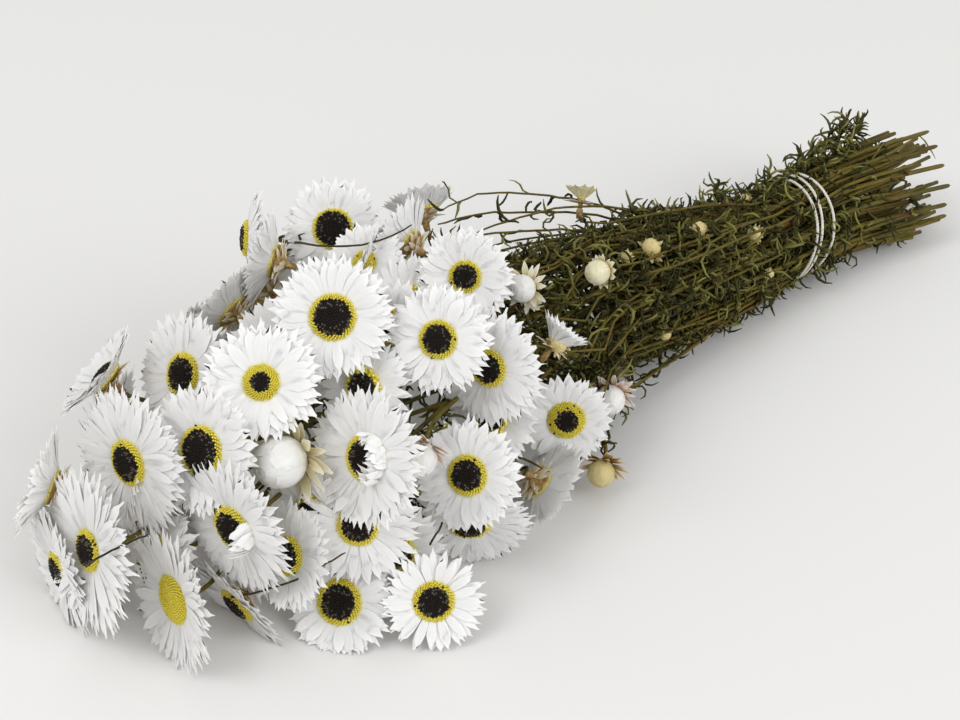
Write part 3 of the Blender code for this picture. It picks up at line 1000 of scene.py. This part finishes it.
class DAISIES_PG_stage(bpy.types.PropertyGroup):
    floor_size: FloatProperty(
        name="Floor size", description="Side of the square board under the bunch",
        default=40.0, min=1, unit="LENGTH", subtype="DISTANCE",
    )
    board: colour_of("Board", "Colour of the board near the viewer", "#E9E7E6")
    backdrop: colour_of("Backdrop", "Colour of the room seen past the board", "#F0EFED")
    # Painted shade: this greyer colour of the board further back stands in for the lamps'
    # falloff.
    board_far_painted_shade: colour_of("Far board", "Colour of the board further back", "#D8D8D5")
    key_power: FloatProperty(
        name="Key lamp", description="Power of the large soft lamp", default=276.0, min=0,
        unit="POWER",
    )
    fill_power: FloatProperty(
        name="Fill lamp", description="Power of the softer lamp beside the camera",
        default=368.0, min=0, unit="POWER",
    )
    sky: FloatProperty(
        name="Room light", description="Strength of the even light of the room",
        default=0.72, min=0, max=2,
    )
    sky_colour: colour_of("Room colour", "Colour of the even light of the room", "#FFFFFF")


# ---- Flower heads -----------------------------------------------------------------
def disc_height(share):
    """Height of the floret dome at a share of its radius: it has a dent in its middle."""
    return DISC_RISE * (0.92 - 0.72 * share ** 3.2 - 0.12 * exp(-18 * share * share))


def add_petals(bm, seat, sizes):
    """Overlapping rings of narrow papery petals, and the ones that still curl in."""
    rng = Random(seat.node + "petals")
    hidden = seat.node not in NODES
    reach = seat.ruff_radius
    if not hidden:
        reach = max(reach, sizes.petal_margin + sizes.petal_growth * seat.disc_radius)
    reach *= FULL_HEADS.get(seat.node, 1.0)
    root = seat.disc_radius * PETAL_ROOT
    openness = rng.uniform(-0.08, 0.08) + radians(HALF_OPEN.get(seat.node, 0))
    wave = (rng.uniform(0.03, 0.07), rng.uniform(0, 2 * pi))
    closeness = SPARSE_HEADS.get(seat.node, 0.8 if hidden else 1.0)
    for height, start, bend, share, overlap in PETAL_RINGS[1:] if hidden else PETAL_RINGS:
        length = (reach - root) * share * 1.04
        middle = root + length * 0.6
        width = sizes.petal_width * (0.5 + closeness / 2)
        count = round(2 * pi * middle / width * overlap * closeness)
        ring = Ring(
            count, root, height * MM, length, width, radians(start) + openness,
            radians(bend),
        )
        add_ring(
            bm, seat.matrix, ring, rng, looseness=0.75, trough=0.01, base=0.55, widest=0.60,
            roll=0.035, torn=0.06, wave=wave, grid=BLADE_GRID if hidden else PETAL_GRID,
        )
    curled, side = CURLED_HEADS.get(seat.node, (0, 0))
    local = seat.matrix.to_3x3().inverted() @ SIDEWAYS
    for index in range(curled):
        curl = Blade(
            length=seat.disc_radius * rng.uniform(0.7, 1.2),
            width=sizes.petal_width * rng.uniform(0.6, 0.95),
            start=radians(rng.uniform(70, 100)), bend=radians(rng.uniform(25, 75)),
            twist=rng.uniform(-0.4, 0.4), roll=rng.uniform(-0.3, 0.3),
            trough=0.12, base=0.6, widest=0.6, torn=0.10,
        )
        turn = atan2(local.y, local.x) + radians(side)
        turn += CURL_SPACING * (index - (curled - 1) / 2) + rng.uniform(-0.10, 0.10)
        turned = seat.matrix @ Matrix.Rotation(turn, 4, "Z")
        add_blade(bm, turned, curl, root * rng.uniform(1.1, 1.25), 0.6 * MM, rng, PETAL_GRID)


def add_bracts(bm, seat):
    """Golden papery bracts in rings round the cup."""
    rng = Random(seat.node + "bracts")
    rings = BRACT_RINGS if seat.node in NODES else BRACT_RINGS[-1:]
    for count, root, height, length, width, start, bend in rings:
        ring = Ring(
            count, seat.disc_radius * root, height * MM, length * MM, width * MM,
            radians(start), radians(bend),
        )
        add_ring(
            bm, seat.matrix, ring, rng, looseness=1.8, trough=0.2, base=0.6, widest=0.35,
            torn=0.05,
        )


def add_core(bm, seat):
    """The neck and shallow cup from the stem to the petals, and the dome on it.

    Slot 0 is the cup, 1 the dark middle of the dome and 2 its yellow rim.
    """
    r = seat.disc_radius
    dark = r * DARK_MIDDLES.get(seat.node, DARK_MIDDLE)
    cup = [
        (0, -CUP_DEPTH), (CUP_NECK, -CUP_DEPTH), (CUP_NECK * 1.25, -CUP_DEPTH * 0.6),
        (r * 0.36, -CUP_DEPTH * 0.44), (r * 0.64, -CUP_DEPTH * 0.28),
        (r * 0.88, -CUP_DEPTH * 0.12), (r * 0.99, -0.4 * MM),
    ]
    stations = (0.97, 0.88, 0.74, 0.60, 0.40, 0.20, 0)
    dome = [(r * share, disc_height(share) - 0.35 * MM) for share in stations]
    add_turned(bm, seat.matrix, cup + dome, DISC_STEPS)
    inward = seat.matrix.inverted()
    for face in bm.faces:
        centre = inward @ face.calc_center_median()
        if centre.z > -0.2 * MM:
            away = sqrt(centre.x ** 2 + centre.y ** 2)
            face.material_index = 2 if away > dark else 1


def floret_paths(seat, count):
    """Short florets packed in spirals on the dome, each with its own shade.

    A shade of 0 is a dark floret, 0.5 one dusted with pale pollen and 1 a yellow one.
    """
    rng = Random(seat.node + "disc")
    dark_share = DARK_MIDDLES.get(seat.node, DARK_MIDDLE)
    r = seat.disc_radius
    size = r * sqrt(1 / count)
    paths, shades = [], []
    for index in range(count):
        share = sqrt((index + 0.5) / count)
        turn = index * GOLDEN_ANGLE
        ripe = share > dark_share + rng.uniform(-0.025, 0.025)
        lean = share * 0.55 + rng.uniform(-0.2, 0.2)
        place = Vector((r * share * cos(turn), r * share * sin(turn), disc_height(share)))
        tip = Vector((cos(turn) * sin(lean), sin(turn) * sin(lean), cos(lean)))
        tip *= size * (1.5 if share > 0.86 else 1.1) * rng.uniform(0.7, 1.35)
        foot = (seat.matrix @ (place - tip), size * 1.15)
        paths.append([foot, (seat.matrix @ (place + tip), size * (0.8 if ripe else 0.6))])
        shade = 1.0 if ripe else 0.0
        if ripe and dark_share and rng.random() < ODD_FLORETS:
            shade = 0.0
        if not ripe and share > dark_share * 0.55 and rng.random() < DUSTED_FLORETS:
            shade = 0.5
        shades.append(shade)
    return paths, shades


class DAISIES_OT_flower_heads(bpy.types.Operator):
    """Grow petals, floret disc, bracts and cup on every flower head"""

    bl_idname = "daisies.flower_heads"
    bl_label = "Flower Heads"

    def execute(self, context):
        looks = context.scene.daisy_heads
        petal = dried_petal("dried_white_petal", looks.petal, looks.petal_shade)
        cream = dried_petal("dried_cream_petal", looks.cream_petal, looks.cream_petal_shade)
        bract = papery_bract("golden_bract", looks.bract_root, looks.bract, looks.bract_tip)
        core = [
            dry_grain("dried_cup", linear("#B09258"), linear("#745A30"), 1.2, 0.6),
            dry_grain("dark_dome", looks.dark_floret, linear("#0E0A08"), 0.5, 0.6),
            dry_grain("yellow_dome", looks.yellow_floret, linear("#9A8518"), 0.5, 0.6),
        ]
        floret = packed_floret(looks.dark_floret, looks.yellow_floret)
        seats = [head_seat(node) for node in HEADS]
        inner = inner_seats(seats, [bud_seat(node) for node in BUDS])
        for seat in seats + inner + young_seats():
            packed = [seat.node] if seat.node in NODES else []
            name = seat.node.replace("head", "{}")
            bm = blade_mesh()
            add_petals(bm, seat, looks)
            finish_piece(
                name.format("petals"), bm, [cream if seat.node in CREAM_HEADS else petal],
                packed, thickness=looks.petal_thickness,
            )
            bm = blade_mesh()
            add_bracts(bm, seat)
            finish_piece(
                name.format("bracts"), bm, [bract], packed, thickness=looks.bract_thickness
            )
            bm = bmesh.new()
            add_core(bm, seat)
            finish_piece(name.format("core"), bm, core, packed)
            count = round(looks.floret_count * (seat.disc_radius / USUAL_DISC) ** 1.2)
            if not packed:
                count //= FEWER_FLORETS
            paths, shades = floret_paths(seat, count)
            florets = threads(name.format("florets"), paths, 4, floret, shades)
            declare(florets, packed)
        return {"FINISHED"}


# ---- Buds -------------------------------------------------------------------------
# Rings of scales that hug a bud: how many, angle off its back, span (degrees), width and
# lift as shares of its radius.
BUD_RINGS = ((4, 104, 74, 1.5, 0.0), (5, 66, 100, 1.6, 0.015), (5, 34, 108, 1.5, 0.03))

# The same of a small bud among the leaves.
SMALL_BUD_RINGS = ((5, 84, 92, 1.5, 0.0), (5, 46, 84, 1.5, 0.03))

# Rings of bracts behind a bud: how many, angle off its back (degrees), length share and
# start (degrees).
BUD_BRACT_RINGS = ((9, 50, 0.85, 16), (9, 36, 1.0, 6), (6, 20, 0.8, -6))

# The egg under the scales: its radius as a share of the bud's, and the angles off its
# back (degrees) at which it is drawn.
HEART_SHARE = 0.93
HEART_ANGLES = (24, 45, 65, 85, 105, 125, 145, 163)

# A bud is this much longer than round, on the stem's side and at its tip.
BUD_STRETCH, TIP_STRETCH = 1.04, 1.10

# How each large bud looks: its scales, its bracts, and how long those are in its radii.
BUD_LOOKS = {
    "bud_01": ("white", "golden", 1.55), "bud_02": ("white", "rosy", 1.3),
    "bud_03": ("white", "rosy", 1.3), "bud_04": ("golden", "brown", 1.4),
    "bud_05": ("white", "pale", 1.3), "bud_06": ("cream", "golden", 0.8),
}

# Colours of those scales that aren't white: the scale, its root and its flush.
BUD_SCALES = {
    "cream": ("#F1E8C4", "#D9CB92", "#F3E2B4"), "golden": ("#DCCB8C", "#AD9350", "#E6D59C"),
}

# Colours of those bracts: at the root, in the middle and at the tip.
BUD_BRACTS = {
    "golden": ("#94834A", "#CFC294", "#F2ECD6"), "pale": ("#B5A468", "#E3DAB6", "#F7F3E6"),
    "rosy": ("#8A5A44", "#D3AE9C", "#F4EAE2"), "brown": ("#5E3E1C", "#A07C48", "#D9C493"),
}


def add_bud_scales(bm, matrix, radius, rings):
    """Broad scales in rings round an egg, the lower ones over the upper ones."""
    for level, (count, back, span, width, lift) in enumerate(rings):
        for index in range(count):
            turn = 2 * pi * (index + 0.37 * level) / count
            add_hugging_scale(
                bm, matrix, radius * (0.955 + lift), radians(back), radians(span), turn,
                radius * width, 0.03,
            )


def add_bud_bracts(bm, matrix, radius, rng, length):
    """Pointed papery bracts that stand out round the back of a bud."""
    for count, back, share, start in BUD_BRACT_RINGS:
        angle = radians(back)
        ring = Ring(
            count, radius * sin(angle), -radius * 1.06 * cos(angle),
            radius * length * share, radius * 0.46, radians(start), radians(12),
        )
        add_ring(
            bm, matrix, ring, rng, looseness=1.8, trough=0.3, base=0.5, widest=0.42,
            torn=0.04,
        )


def add_bud_heart(bm, matrix, radius, steps):
    """The egg under the scales, and its short neck on the stem."""
    profile = [(0, -radius * 1.28), (radius * 0.2, -radius * 1.26)]
    for angle in HEART_ANGLES:
        tall = TIP_STRETCH if angle > 90 else BUD_STRETCH
        profile.append((
            radius * HEART_SHARE * sin(radians(angle)),
            -radius * HEART_SHARE * tall * cos(radians(angle)),
        ))
    profile.append((0, radius * HEART_SHARE * TIP_STRETCH))
    add_turned(bm, matrix, profile, steps)


class DAISIES_OT_buds(bpy.types.Operator):
    """Close scales and bracts round every packed bud"""

    bl_idname = "daisies.buds"
    bl_label = "Buds"

    def execute(self, context):
        looks = context.scene.daisy_buds
        scales = {
            tone: bud_scale(f"{tone}_bud_scale", *(linear(colour) for colour in colours))
            for tone, colours in BUD_SCALES.items()
        }
        scales["white"] = bud_scale(
            "white_bud_scale", looks.scale, looks.scale_shade, linear("#EFDAD2")
        )
        bracts = {
            tone: papery_bract(f"{tone}_bud_bract", *(linear(colour) for colour in colours))
            for tone, colours in BUD_BRACTS.items()
        }
        heart = dry_grain("bud_heart", looks.scale, looks.scale_shade, 1.5, 0.5)
        for node in BUDS:
            seat = bud_seat(node)
            radius = seat.disc_radius
            outside, collar, length = BUD_LOOKS[node]
            bm = blade_mesh()
            add_bud_scales(bm, seat.matrix, radius, BUD_RINGS)
            finish_piece(
                node + "_scales", bm, [scales[outside]], [node],
                thickness=looks.scale_thickness,
            )
            bm = blade_mesh()
            add_bud_bracts(bm, seat.matrix, radius, Random(node), length)
            finish_piece(
                node + "_bracts", bm, [bracts[collar]], [node],
                thickness=looks.scale_thickness,
            )
            bm = bmesh.new()
            add_bud_heart(bm, seat.matrix, radius, 16)
            finish_piece(node + "_heart", bm, [heart], [node])
        return {"FINISHED"}


# ---- Stems and leaves -------------------------------------------------------------
def cut_along(angle):
    """Where the thin stems are cut: nearer the tie on the near side, as the thick ones."""
    return TIE_MIDDLE.x + CUT_FAR - CUT_SLANT * max(0.0, cos(angle))


def fine_stem_paths(sections, looks):
    """Paths of thin stems through the bundle, from the cut ends toward the flowers."""
    rng = Random("fine stems")
    paths = []
    for number in range(looks.fine_stems):
        angle = rng.uniform(0, 2 * pi)
        # Every sixth one lies on the outside of the bundle.
        reach = rng.uniform(0.98, 1.12) if number % 6 == 0 else sqrt(rng.uniform(0.0, 0.95))
        start = cut_along(angle) - rng.uniform(0, CUT_UNEVEN) * MM
        end = TIE_MIDDLE.x - rng.uniform(*THIN_ENDS) * MM
        drift = rng.uniform(-0.8, 0.8)
        widen = rng.uniform(0.0, 0.30)
        path = []
        phase = rng.uniform(0, 2 * pi)
        for index in range(THIN_POINTS):
            share = index / (THIN_POINTS - 1)
            along = start + (end - start) * share
            away = (along - TIE_MIDDLE.x) / FLARE
            flare = 1 - exp(-away * away)
            out = reach * (1 + widen * flare * (1 if away < 0 else 0.2))
            place = bundle_place(sections, along, angle + drift * share, out)
            sway = sin(share * 14 + phase), cos(share * 11 + phase * 2)
            wobble = Vector((0, sway[0], sway[1])) * THIN_SWAY * MM * flare
            path.append((place + wobble, looks.fine_stem_radius * (1.2 - 0.6 * share)))
        paths.append(path)
    return paths


def smooth_point(points, index, share):
    """Point on a smooth curve through way points, a share of the way on from one of them."""
    last = len(points) - 1
    a, b, c, d = (points[min(max(index + step, 0), last)] for step in (-1, 0, 1, 2))
    return (
        b * 2 + (c - a) * share + (a * 2 - b * 5 + c * 4 - d) * share ** 2
        + (b * 3 - a - c * 3 + d) * share ** 3
    ) / 2


def way_point_paths(table, radius, wobble, rng):
    """Paths of thin stems along way points from the middle of the tie."""
    paths = []
    for row in table:
        points = [TIE_MIDDLE + Vector(point) * MM for point in row]
        path = []
        for index in range(len(points) - 1):
            for step in range(WAY_STEPS):
                stray = Vector((0, rng.gauss(0, wobble), rng.gauss(0, wobble)))
                place = smooth_point(points, index, step / WAY_STEPS) + stray
                path.append((place, radius * (1 - 0.02 * len(path))))
        path.append((points[-1], radius * 0.5))
        paths.append(path)
    return paths


def shoot_paths(looks):
    """Paths of the long thin shoots on the outside of the bundle."""
    return way_point_paths(SHOOTS, looks.fine_stem_radius * 0.75, 0.2 * MM, Random("shoots"))


def any_way(rng):
    """A vector that points anywhere."""
    return Vector((rng.gauss(0, 1), rng.gauss(0, 1), rng.gauss(0, 1)))


def leaf_path(root, way, length, radius, rng, back=Vector(), points=5):
    """A curling thread-like leaf from its root: it sets off along way and hooks over.

    It leans back along the last vector as it goes, which keeps it near its stem.
    """
    place = root.copy()
    heading = way.normalized()
    bend_axis = heading.cross(any_way(rng)).normalized()
    curl = rng.choice(LEAF_CURLS) * rng.uniform(0.7, 1.3)
    turns_back = rng.random() < LEAF_HOOKS
    path = []
    for index in range(points):
        share = index / (points - 1)
        path.append((place.copy(), radius * (0.75 + 1.3 * share - 1.75 * share * share)))
        angle = curl * (-1.2 if turns_back and share > 0.45 else 1)
        heading = (Quaternion(bend_axis, angle) @ heading + back).normalized()
        bend_axis = (bend_axis + any_way(rng) * 0.3).normalized()
        place = place + heading * (length / (points - 1))
    return path


def leafiness(along):
    """How leafy the bunch is at a place along it: 1 between the tie and the flowers."""
    distance = (TIE_MIDDLE.x - along) / MM
    for limit, share in LEAFY_STRETCHES:
        if distance < limit:
            return share
    return max(0.0, 0.5 - (distance - limit) * 0.004)


def path_samples(path, count, rng):
    """Places along a path, each with a way out from it."""
    samples = []
    for _ in range(count):
        at = rng.uniform(0, len(path) - 1.001)
        index = int(at)
        place = path[index][0].lerp(path[index + 1][0], at - index)
        way = Vector((rng.gauss(0, 0.4), rng.gauss(0, 1), rng.gauss(0, 1))).normalized()
        samples.append((place, way))
    return samples


def add_leaves(samples, most, looks, rng, paths, shades):
    """Leaves at some of the places, up to a number, where the bunch is leafy."""
    wanted = len(paths) + most
    for root, facing in samples:
        if len(paths) >= wanted:
            break
        if rng.random() > leafiness(root.x):
            continue
        wild = any_way(rng)
        forward = Vector((rng.uniform(-1.8, 0.5), 0, 0))
        way = facing * 0.6 + wild * 0.5 + forward
        length = looks.leaf_length * rng.uniform(0.55, 1.4)
        radius = looks.leaf_radius * rng.uniform(0.7, 1.2)
        paths.append(leaf_path(root, way, length, radius, rng, facing * -0.22))
        shades.append(rng.random())


class DAISIES_OT_stems(bpy.types.Operator):
    """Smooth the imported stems, give them bark and add the thin stems between them"""

    bl_idname = "daisies.stems"
    bl_label = "Stems"

    def execute(self, context):
        looks = context.scene.daisy_greens
        bark = dried_bark(
            "dried_stem_bark", looks.stem_green, looks.stem_gold, looks.stem_russet
        )
        for node in STEMS:
            bm = welded(node)
            name = node.replace("stem", "flower_stem")
            piece = finish_piece(name, bm, [bark], [node])
            smooth = piece.modifiers.new("rounding", "SUBSURF")
            smooth.levels = smooth.render_levels = 1
        paths = fine_stem_paths(bundle_sections(), looks) + shoot_paths(looks)
        declare(threads("fine_stems", paths, 6, bark))
        strays = way_point_paths(STRAYS, STRAY_RADIUS, 0.1 * MM, Random("strays"))
        dark = dried_bark(
            "dark_stray_bark", linear("#2E2B16"), linear("#453D1E"), linear("#362812")
        )
        declare(threads("stray_stems", strays, 6, dark))
        return {"FINISHED"}


class DAISIES_OT_leaves(bpy.types.Operator):
    """Grow thread-like curled leaves from the stems, with small cream buds among them"""

    bl_idname = "daisies.leaves"
    bl_label = "Leaves"

    def execute(self, context):
        looks = context.scene.daisy_greens
        leaf = dried_leaf(looks.leaf_dark, looks.leaf, looks.leaf_light)
        sections = bundle_sections()
        for node in STEMS:
            paths, shades = [], []
            samples = stem_samples(node, looks.leaves_per_stem * 3)
            most = looks.leaves_per_stem
            add_leaves(samples, most, looks, Random(node + "leaves"), paths, shades)
            declare(threads(node.replace("stem", "leaves"), paths, 4, leaf, shades))
        rng = Random("fine leaves")
        paths, shades = [], []
        for path in fine_stem_paths(sections, looks):
            most = looks.leaves_per_fine_stem
            add_leaves(path_samples(path, most * 2, rng), most, looks, rng, paths, shades)
        for path in shoot_paths(looks):
            high = path[0][0].z > TIE_MIDDLE.z - SHOOT_LOW
            most = SHOOT_LEAVES[0] if high else SHOOT_LEAVES[1]
            samples = path_samples(path, SHOOT_PLACES, rng)
            add_leaves(samples, most, looks, rng, paths, shades)
        half = len(paths) // 2
        declare(threads("fine_leaves_01", paths[:half], 4, leaf, shades[:half]))
        declare(threads("fine_leaves_02", paths[half:], 4, leaf, shades[half:]))
        paths, shades = [], []
        for root, tip in TUFTS:
            a, b = TIE_MIDDLE + Vector(root) * MM, TIE_MIDDLE + Vector(tip) * MM
            stalk = [
                (a.lerp(b, step / 5), looks.leaf_radius * (1.5 - step / 6))
                for step in range(6)
            ]
            paths.append(stalk)
            shades.append(0.6)
            for place, facing in path_samples(stalk, TUFT_LEAVES, rng):
                way = facing + (b - a).normalized() * 0.9
                length = looks.leaf_length * rng.uniform(0.5, 1.2)
                paths.append(leaf_path(place, way, length, looks.leaf_radius, rng))
                shades.append(rng.uniform(0.3, 1.0))
        declare(threads("leaf_tufts", paths, 4, leaf, shades))
        self.small_buds(context, sections)
        return {"FINISHED"}

    def small_buds(self, context, sections):
        """The small cream buds that peep out of the leaves."""
        looks = context.scene.daisy_buds
        colour = looks.small_scale
        scale = bud_scale("small_bud_scale", colour, linear("#B99A52"), linear("#E2B45E"))
        bract = papery_bract(
            "small_bud_bract", linear("#5E4A1C"), linear("#A08E4E"), linear("#E2D6A4")
        )
        heart = dry_grain("small_bud_heart", colour, linear("#B59F5C"), 1.0, 0.5)
        scales, bracts, hearts = blade_mesh(), blade_mesh(), bmesh.new()
        for index, (along, angle, size) in enumerate(LEAF_BUDS, 1):
            rng = Random(index)
            turn, radius = radians(angle), size * MM
            place = bundle_place(sections, TIE_MIDDLE.x + along * MM, turn, 1.06)
            way = Vector((rng.uniform(-1, 0.2), -cos(turn), sin(turn) + 0.2)).normalized()
            matrix = stood(place, way)
            add_bud_scales(scales, matrix, radius, SMALL_BUD_RINGS)
            add_bud_bracts(bracts, matrix, radius, rng, 1.1)
            add_bud_heart(hearts, matrix, radius, 10)
        thick = looks.scale_thickness
        finish_piece("small_bud_scales", scales, [scale], thickness=thick)
        finish_piece("small_bud_bracts", bracts, [bract], thickness=thick)
        finish_piece("small_bud_hearts", hearts, [heart])


# ---- Tie --------------------------------------------------------------------------
class DAISIES_OT_tie(bpy.types.Operator):
    """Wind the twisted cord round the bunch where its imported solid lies"""

    bl_idname = "daisies.tie"
    bl_label = "Tie"

    def execute(self, context):
        looks = context.scene.daisy_tie
        cotton = cotton_cord(looks.cord, looks.cord_shade)
        reach = (TIE_HIGH.z - TIE_LOW.z) / 2 - CORD_RADIUS
        strand = looks.ply_radius * 1.12
        last = looks.turns * CORD_STEPS
        paths = []
        for ply in range(CORD_PLIES):
            path = []
            for step in range(last + 1):
                turn = step / CORD_STEPS
                angle = 2 * pi * turn - pi / 2
                lay = 2 * pi * (turn * 2 * pi * reach / looks.ply_lay + ply / CORD_PLIES)
                # The two ends are tucked in under the other turns.
                tucked = exp(-min(step, last - step) / TUCK_STEPS) * CORD_TUCK
                out = reach + strand * cos(lay) - tucked
                wander = sin(angle * 0.61 + 1.3) + 0.6 * sin(angle * 1.7 + 0.2)
                # The turns spread apart on the near side and run together under the bunch.
                spread = CORD_PITCH * (0.75 + 0.45 * cos(angle - 0.5))
                along = TIE_MIDDLE.x + (turn - looks.turns / 2) * spread
                along += wander * CORD_WANDER + CORD_SLANT / 2 * sin(angle)
                along += strand * sin(lay)
                place = Vector((
                    along, TIE_MIDDLE.y - out * cos(angle), TIE_MIDDLE.z + out * sin(angle)
                ))
                path.append((place, looks.ply_radius))
            paths.append(path)
        cord = threads("tie_twisted_cord", paths, 6, cotton)
        declare(cord, [TIE])
        return {"FINISHED"}


# ---- Stage ------------------------------------------------------------------------
def add_lamp(name, offset, size, power, colour):
    """A square soft lamp at an offset from the point that it and the camera face."""
    lamp = bpy.data.lights.new(name, "AREA")
    lamp.shape = "SQUARE"
    lamp.size = size
    lamp.energy = power
    lamp.color = colour
    holder = bpy.data.objects.new(name, lamp)
    holder.location = LOOK_AT + offset
    holder.rotation_mode = "QUATERNION"
    holder.rotation_quaternion = (-offset).to_track_quat("-Z", "Y")
    bpy.context.scene.collection.objects.link(holder)


def soft_room(looks):
    """Even light from all round; past the edge of the board it looks like a pale wall."""
    world = bpy.data.worlds.new("soft_room")
    world.use_nodes = True
    tree = world.node_tree
    lit = tree.nodes["Background"]
    lit.inputs["Color"].default_value = opaque(looks.sky_colour)
    lit.inputs["Strength"].default_value = looks.sky
    seen = add_node(tree, "ShaderNodeBackground", {"Color": opaque(looks.backdrop)})
    path = add_node(tree, "ShaderNodeLightPath")
    both = add_node(tree, "ShaderNodeMixShader", links={
        0: path.outputs["Is Camera Ray"], 1: lit.outputs[0], 2: seen.outputs[0],
    })
    tree.links.new(both.outputs[0], tree.nodes["World Output"].inputs["Surface"])
    return world


class DAISIES_OT_stage(bpy.types.Operator):
    """Lay the pale board, hang the soft lamps and set up the camera"""

    bl_idname = "daisies.stage"
    bl_label = "Stage"

    def execute(self, context):
        looks = context.scene.daisy_stage
        scene = context.scene
        bm = bmesh.new()
        bmesh.ops.create_grid(bm, x_segments=4, y_segments=4, size=looks.floor_size / 2)
        mesh = bpy.data.meshes.new("board")
        bm.to_mesh(mesh)
        bm.free()
        mesh.materials.append(matt_board(looks.board, looks.board_far_painted_shade, BOARD_PAINTED_FALLOFF))
        board = bpy.data.objects.new("board", mesh)
        scene.collection.objects.link(board)
        scene.world = soft_room(looks)
        back = Vector((
            sin(CAMERA_TURN) * cos(CAMERA_RISE), -cos(CAMERA_TURN) * cos(CAMERA_RISE),
            sin(CAMERA_RISE),
        ))
        add_lamp("key_lamp", KEY_PLACE, KEY_SIZE, looks.key_power, linear("#FFFFFF"))
        add_lamp("fill_lamp", FILL_PLACE, FILL_SIZE, looks.fill_power, linear("#FAFCFF"))
        lens = bpy.data.cameras.new("camera")
        lens.lens = 70
        lens.sensor_width = 36
        lens.clip_start, lens.clip_end = 0.01, 50
        camera = bpy.data.objects.new("camera", lens)
        camera.location = LOOK_AT + back * CAMERA_REACH
        camera.rotation_mode = "QUATERNION"
        camera.rotation_quaternion = (-back).to_track_quat("-Z", "Y")
        scene.collection.objects.link(camera)
        scene.camera = camera
        scene.view_settings.view_transform = "Standard"
        return {"FINISHED"}


# ---- Panel and registration -------------------------------------------------------
STEPS = (
    DAISIES_OT_stage,
    DAISIES_OT_tie,
    DAISIES_OT_stems,
    DAISIES_OT_leaves,
    DAISIES_OT_buds,
    DAISIES_OT_flower_heads,
)
GROUPS = {
    "daisy_heads": DAISIES_PG_heads,
    "daisy_buds": DAISIES_PG_buds,
    "daisy_greens": DAISIES_PG_greens,
    "daisy_tie": DAISIES_PG_tie,
    "daisy_stage": DAISIES_PG_stage,
}


class DAISIES_PT_bunch(bpy.types.Panel):
    """Sizes, colours and steps of the daisy bunch"""

    bl_idname = "DAISIES_PT_bunch"
    bl_label = "Everlasting Daisies"
    bl_space_type = "VIEW_3D"
    bl_region_type = "UI"
    bl_category = "Daisies"

    def draw(self, context):
        for step in STEPS:
            self.layout.operator(step.bl_idname)
        for group in GROUPS:
            box = self.layout.box()
            settings = getattr(context.scene, group)
            for name in settings.__annotations__:
                box.prop(settings, name)


def register():
    for group, kind in GROUPS.items():
        bpy.utils.register_class(kind)
        setattr(bpy.types.Scene, group, PointerProperty(type=kind))
    for kind in (*STEPS, DAISIES_PT_bunch):
        bpy.utils.register_class(kind)


def unregister():
    for kind in reversed((*STEPS, DAISIES_PT_bunch)):
        bpy.utils.unregister_class(kind)
    for group, kind in GROUPS.items():
        delattr(bpy.types.Scene, group)
        bpy.utils.unregister_class(kind)


def main():
    """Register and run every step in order."""
    register()
    bpy.ops.daisies.stage()
    bpy.ops.daisies.tie()
    bpy.ops.daisies.stems()
    bpy.ops.daisies.leaves()
    bpy.ops.daisies.buds()
    bpy.ops.daisies.flower_heads()


if __name__ == "__main__":
    main()
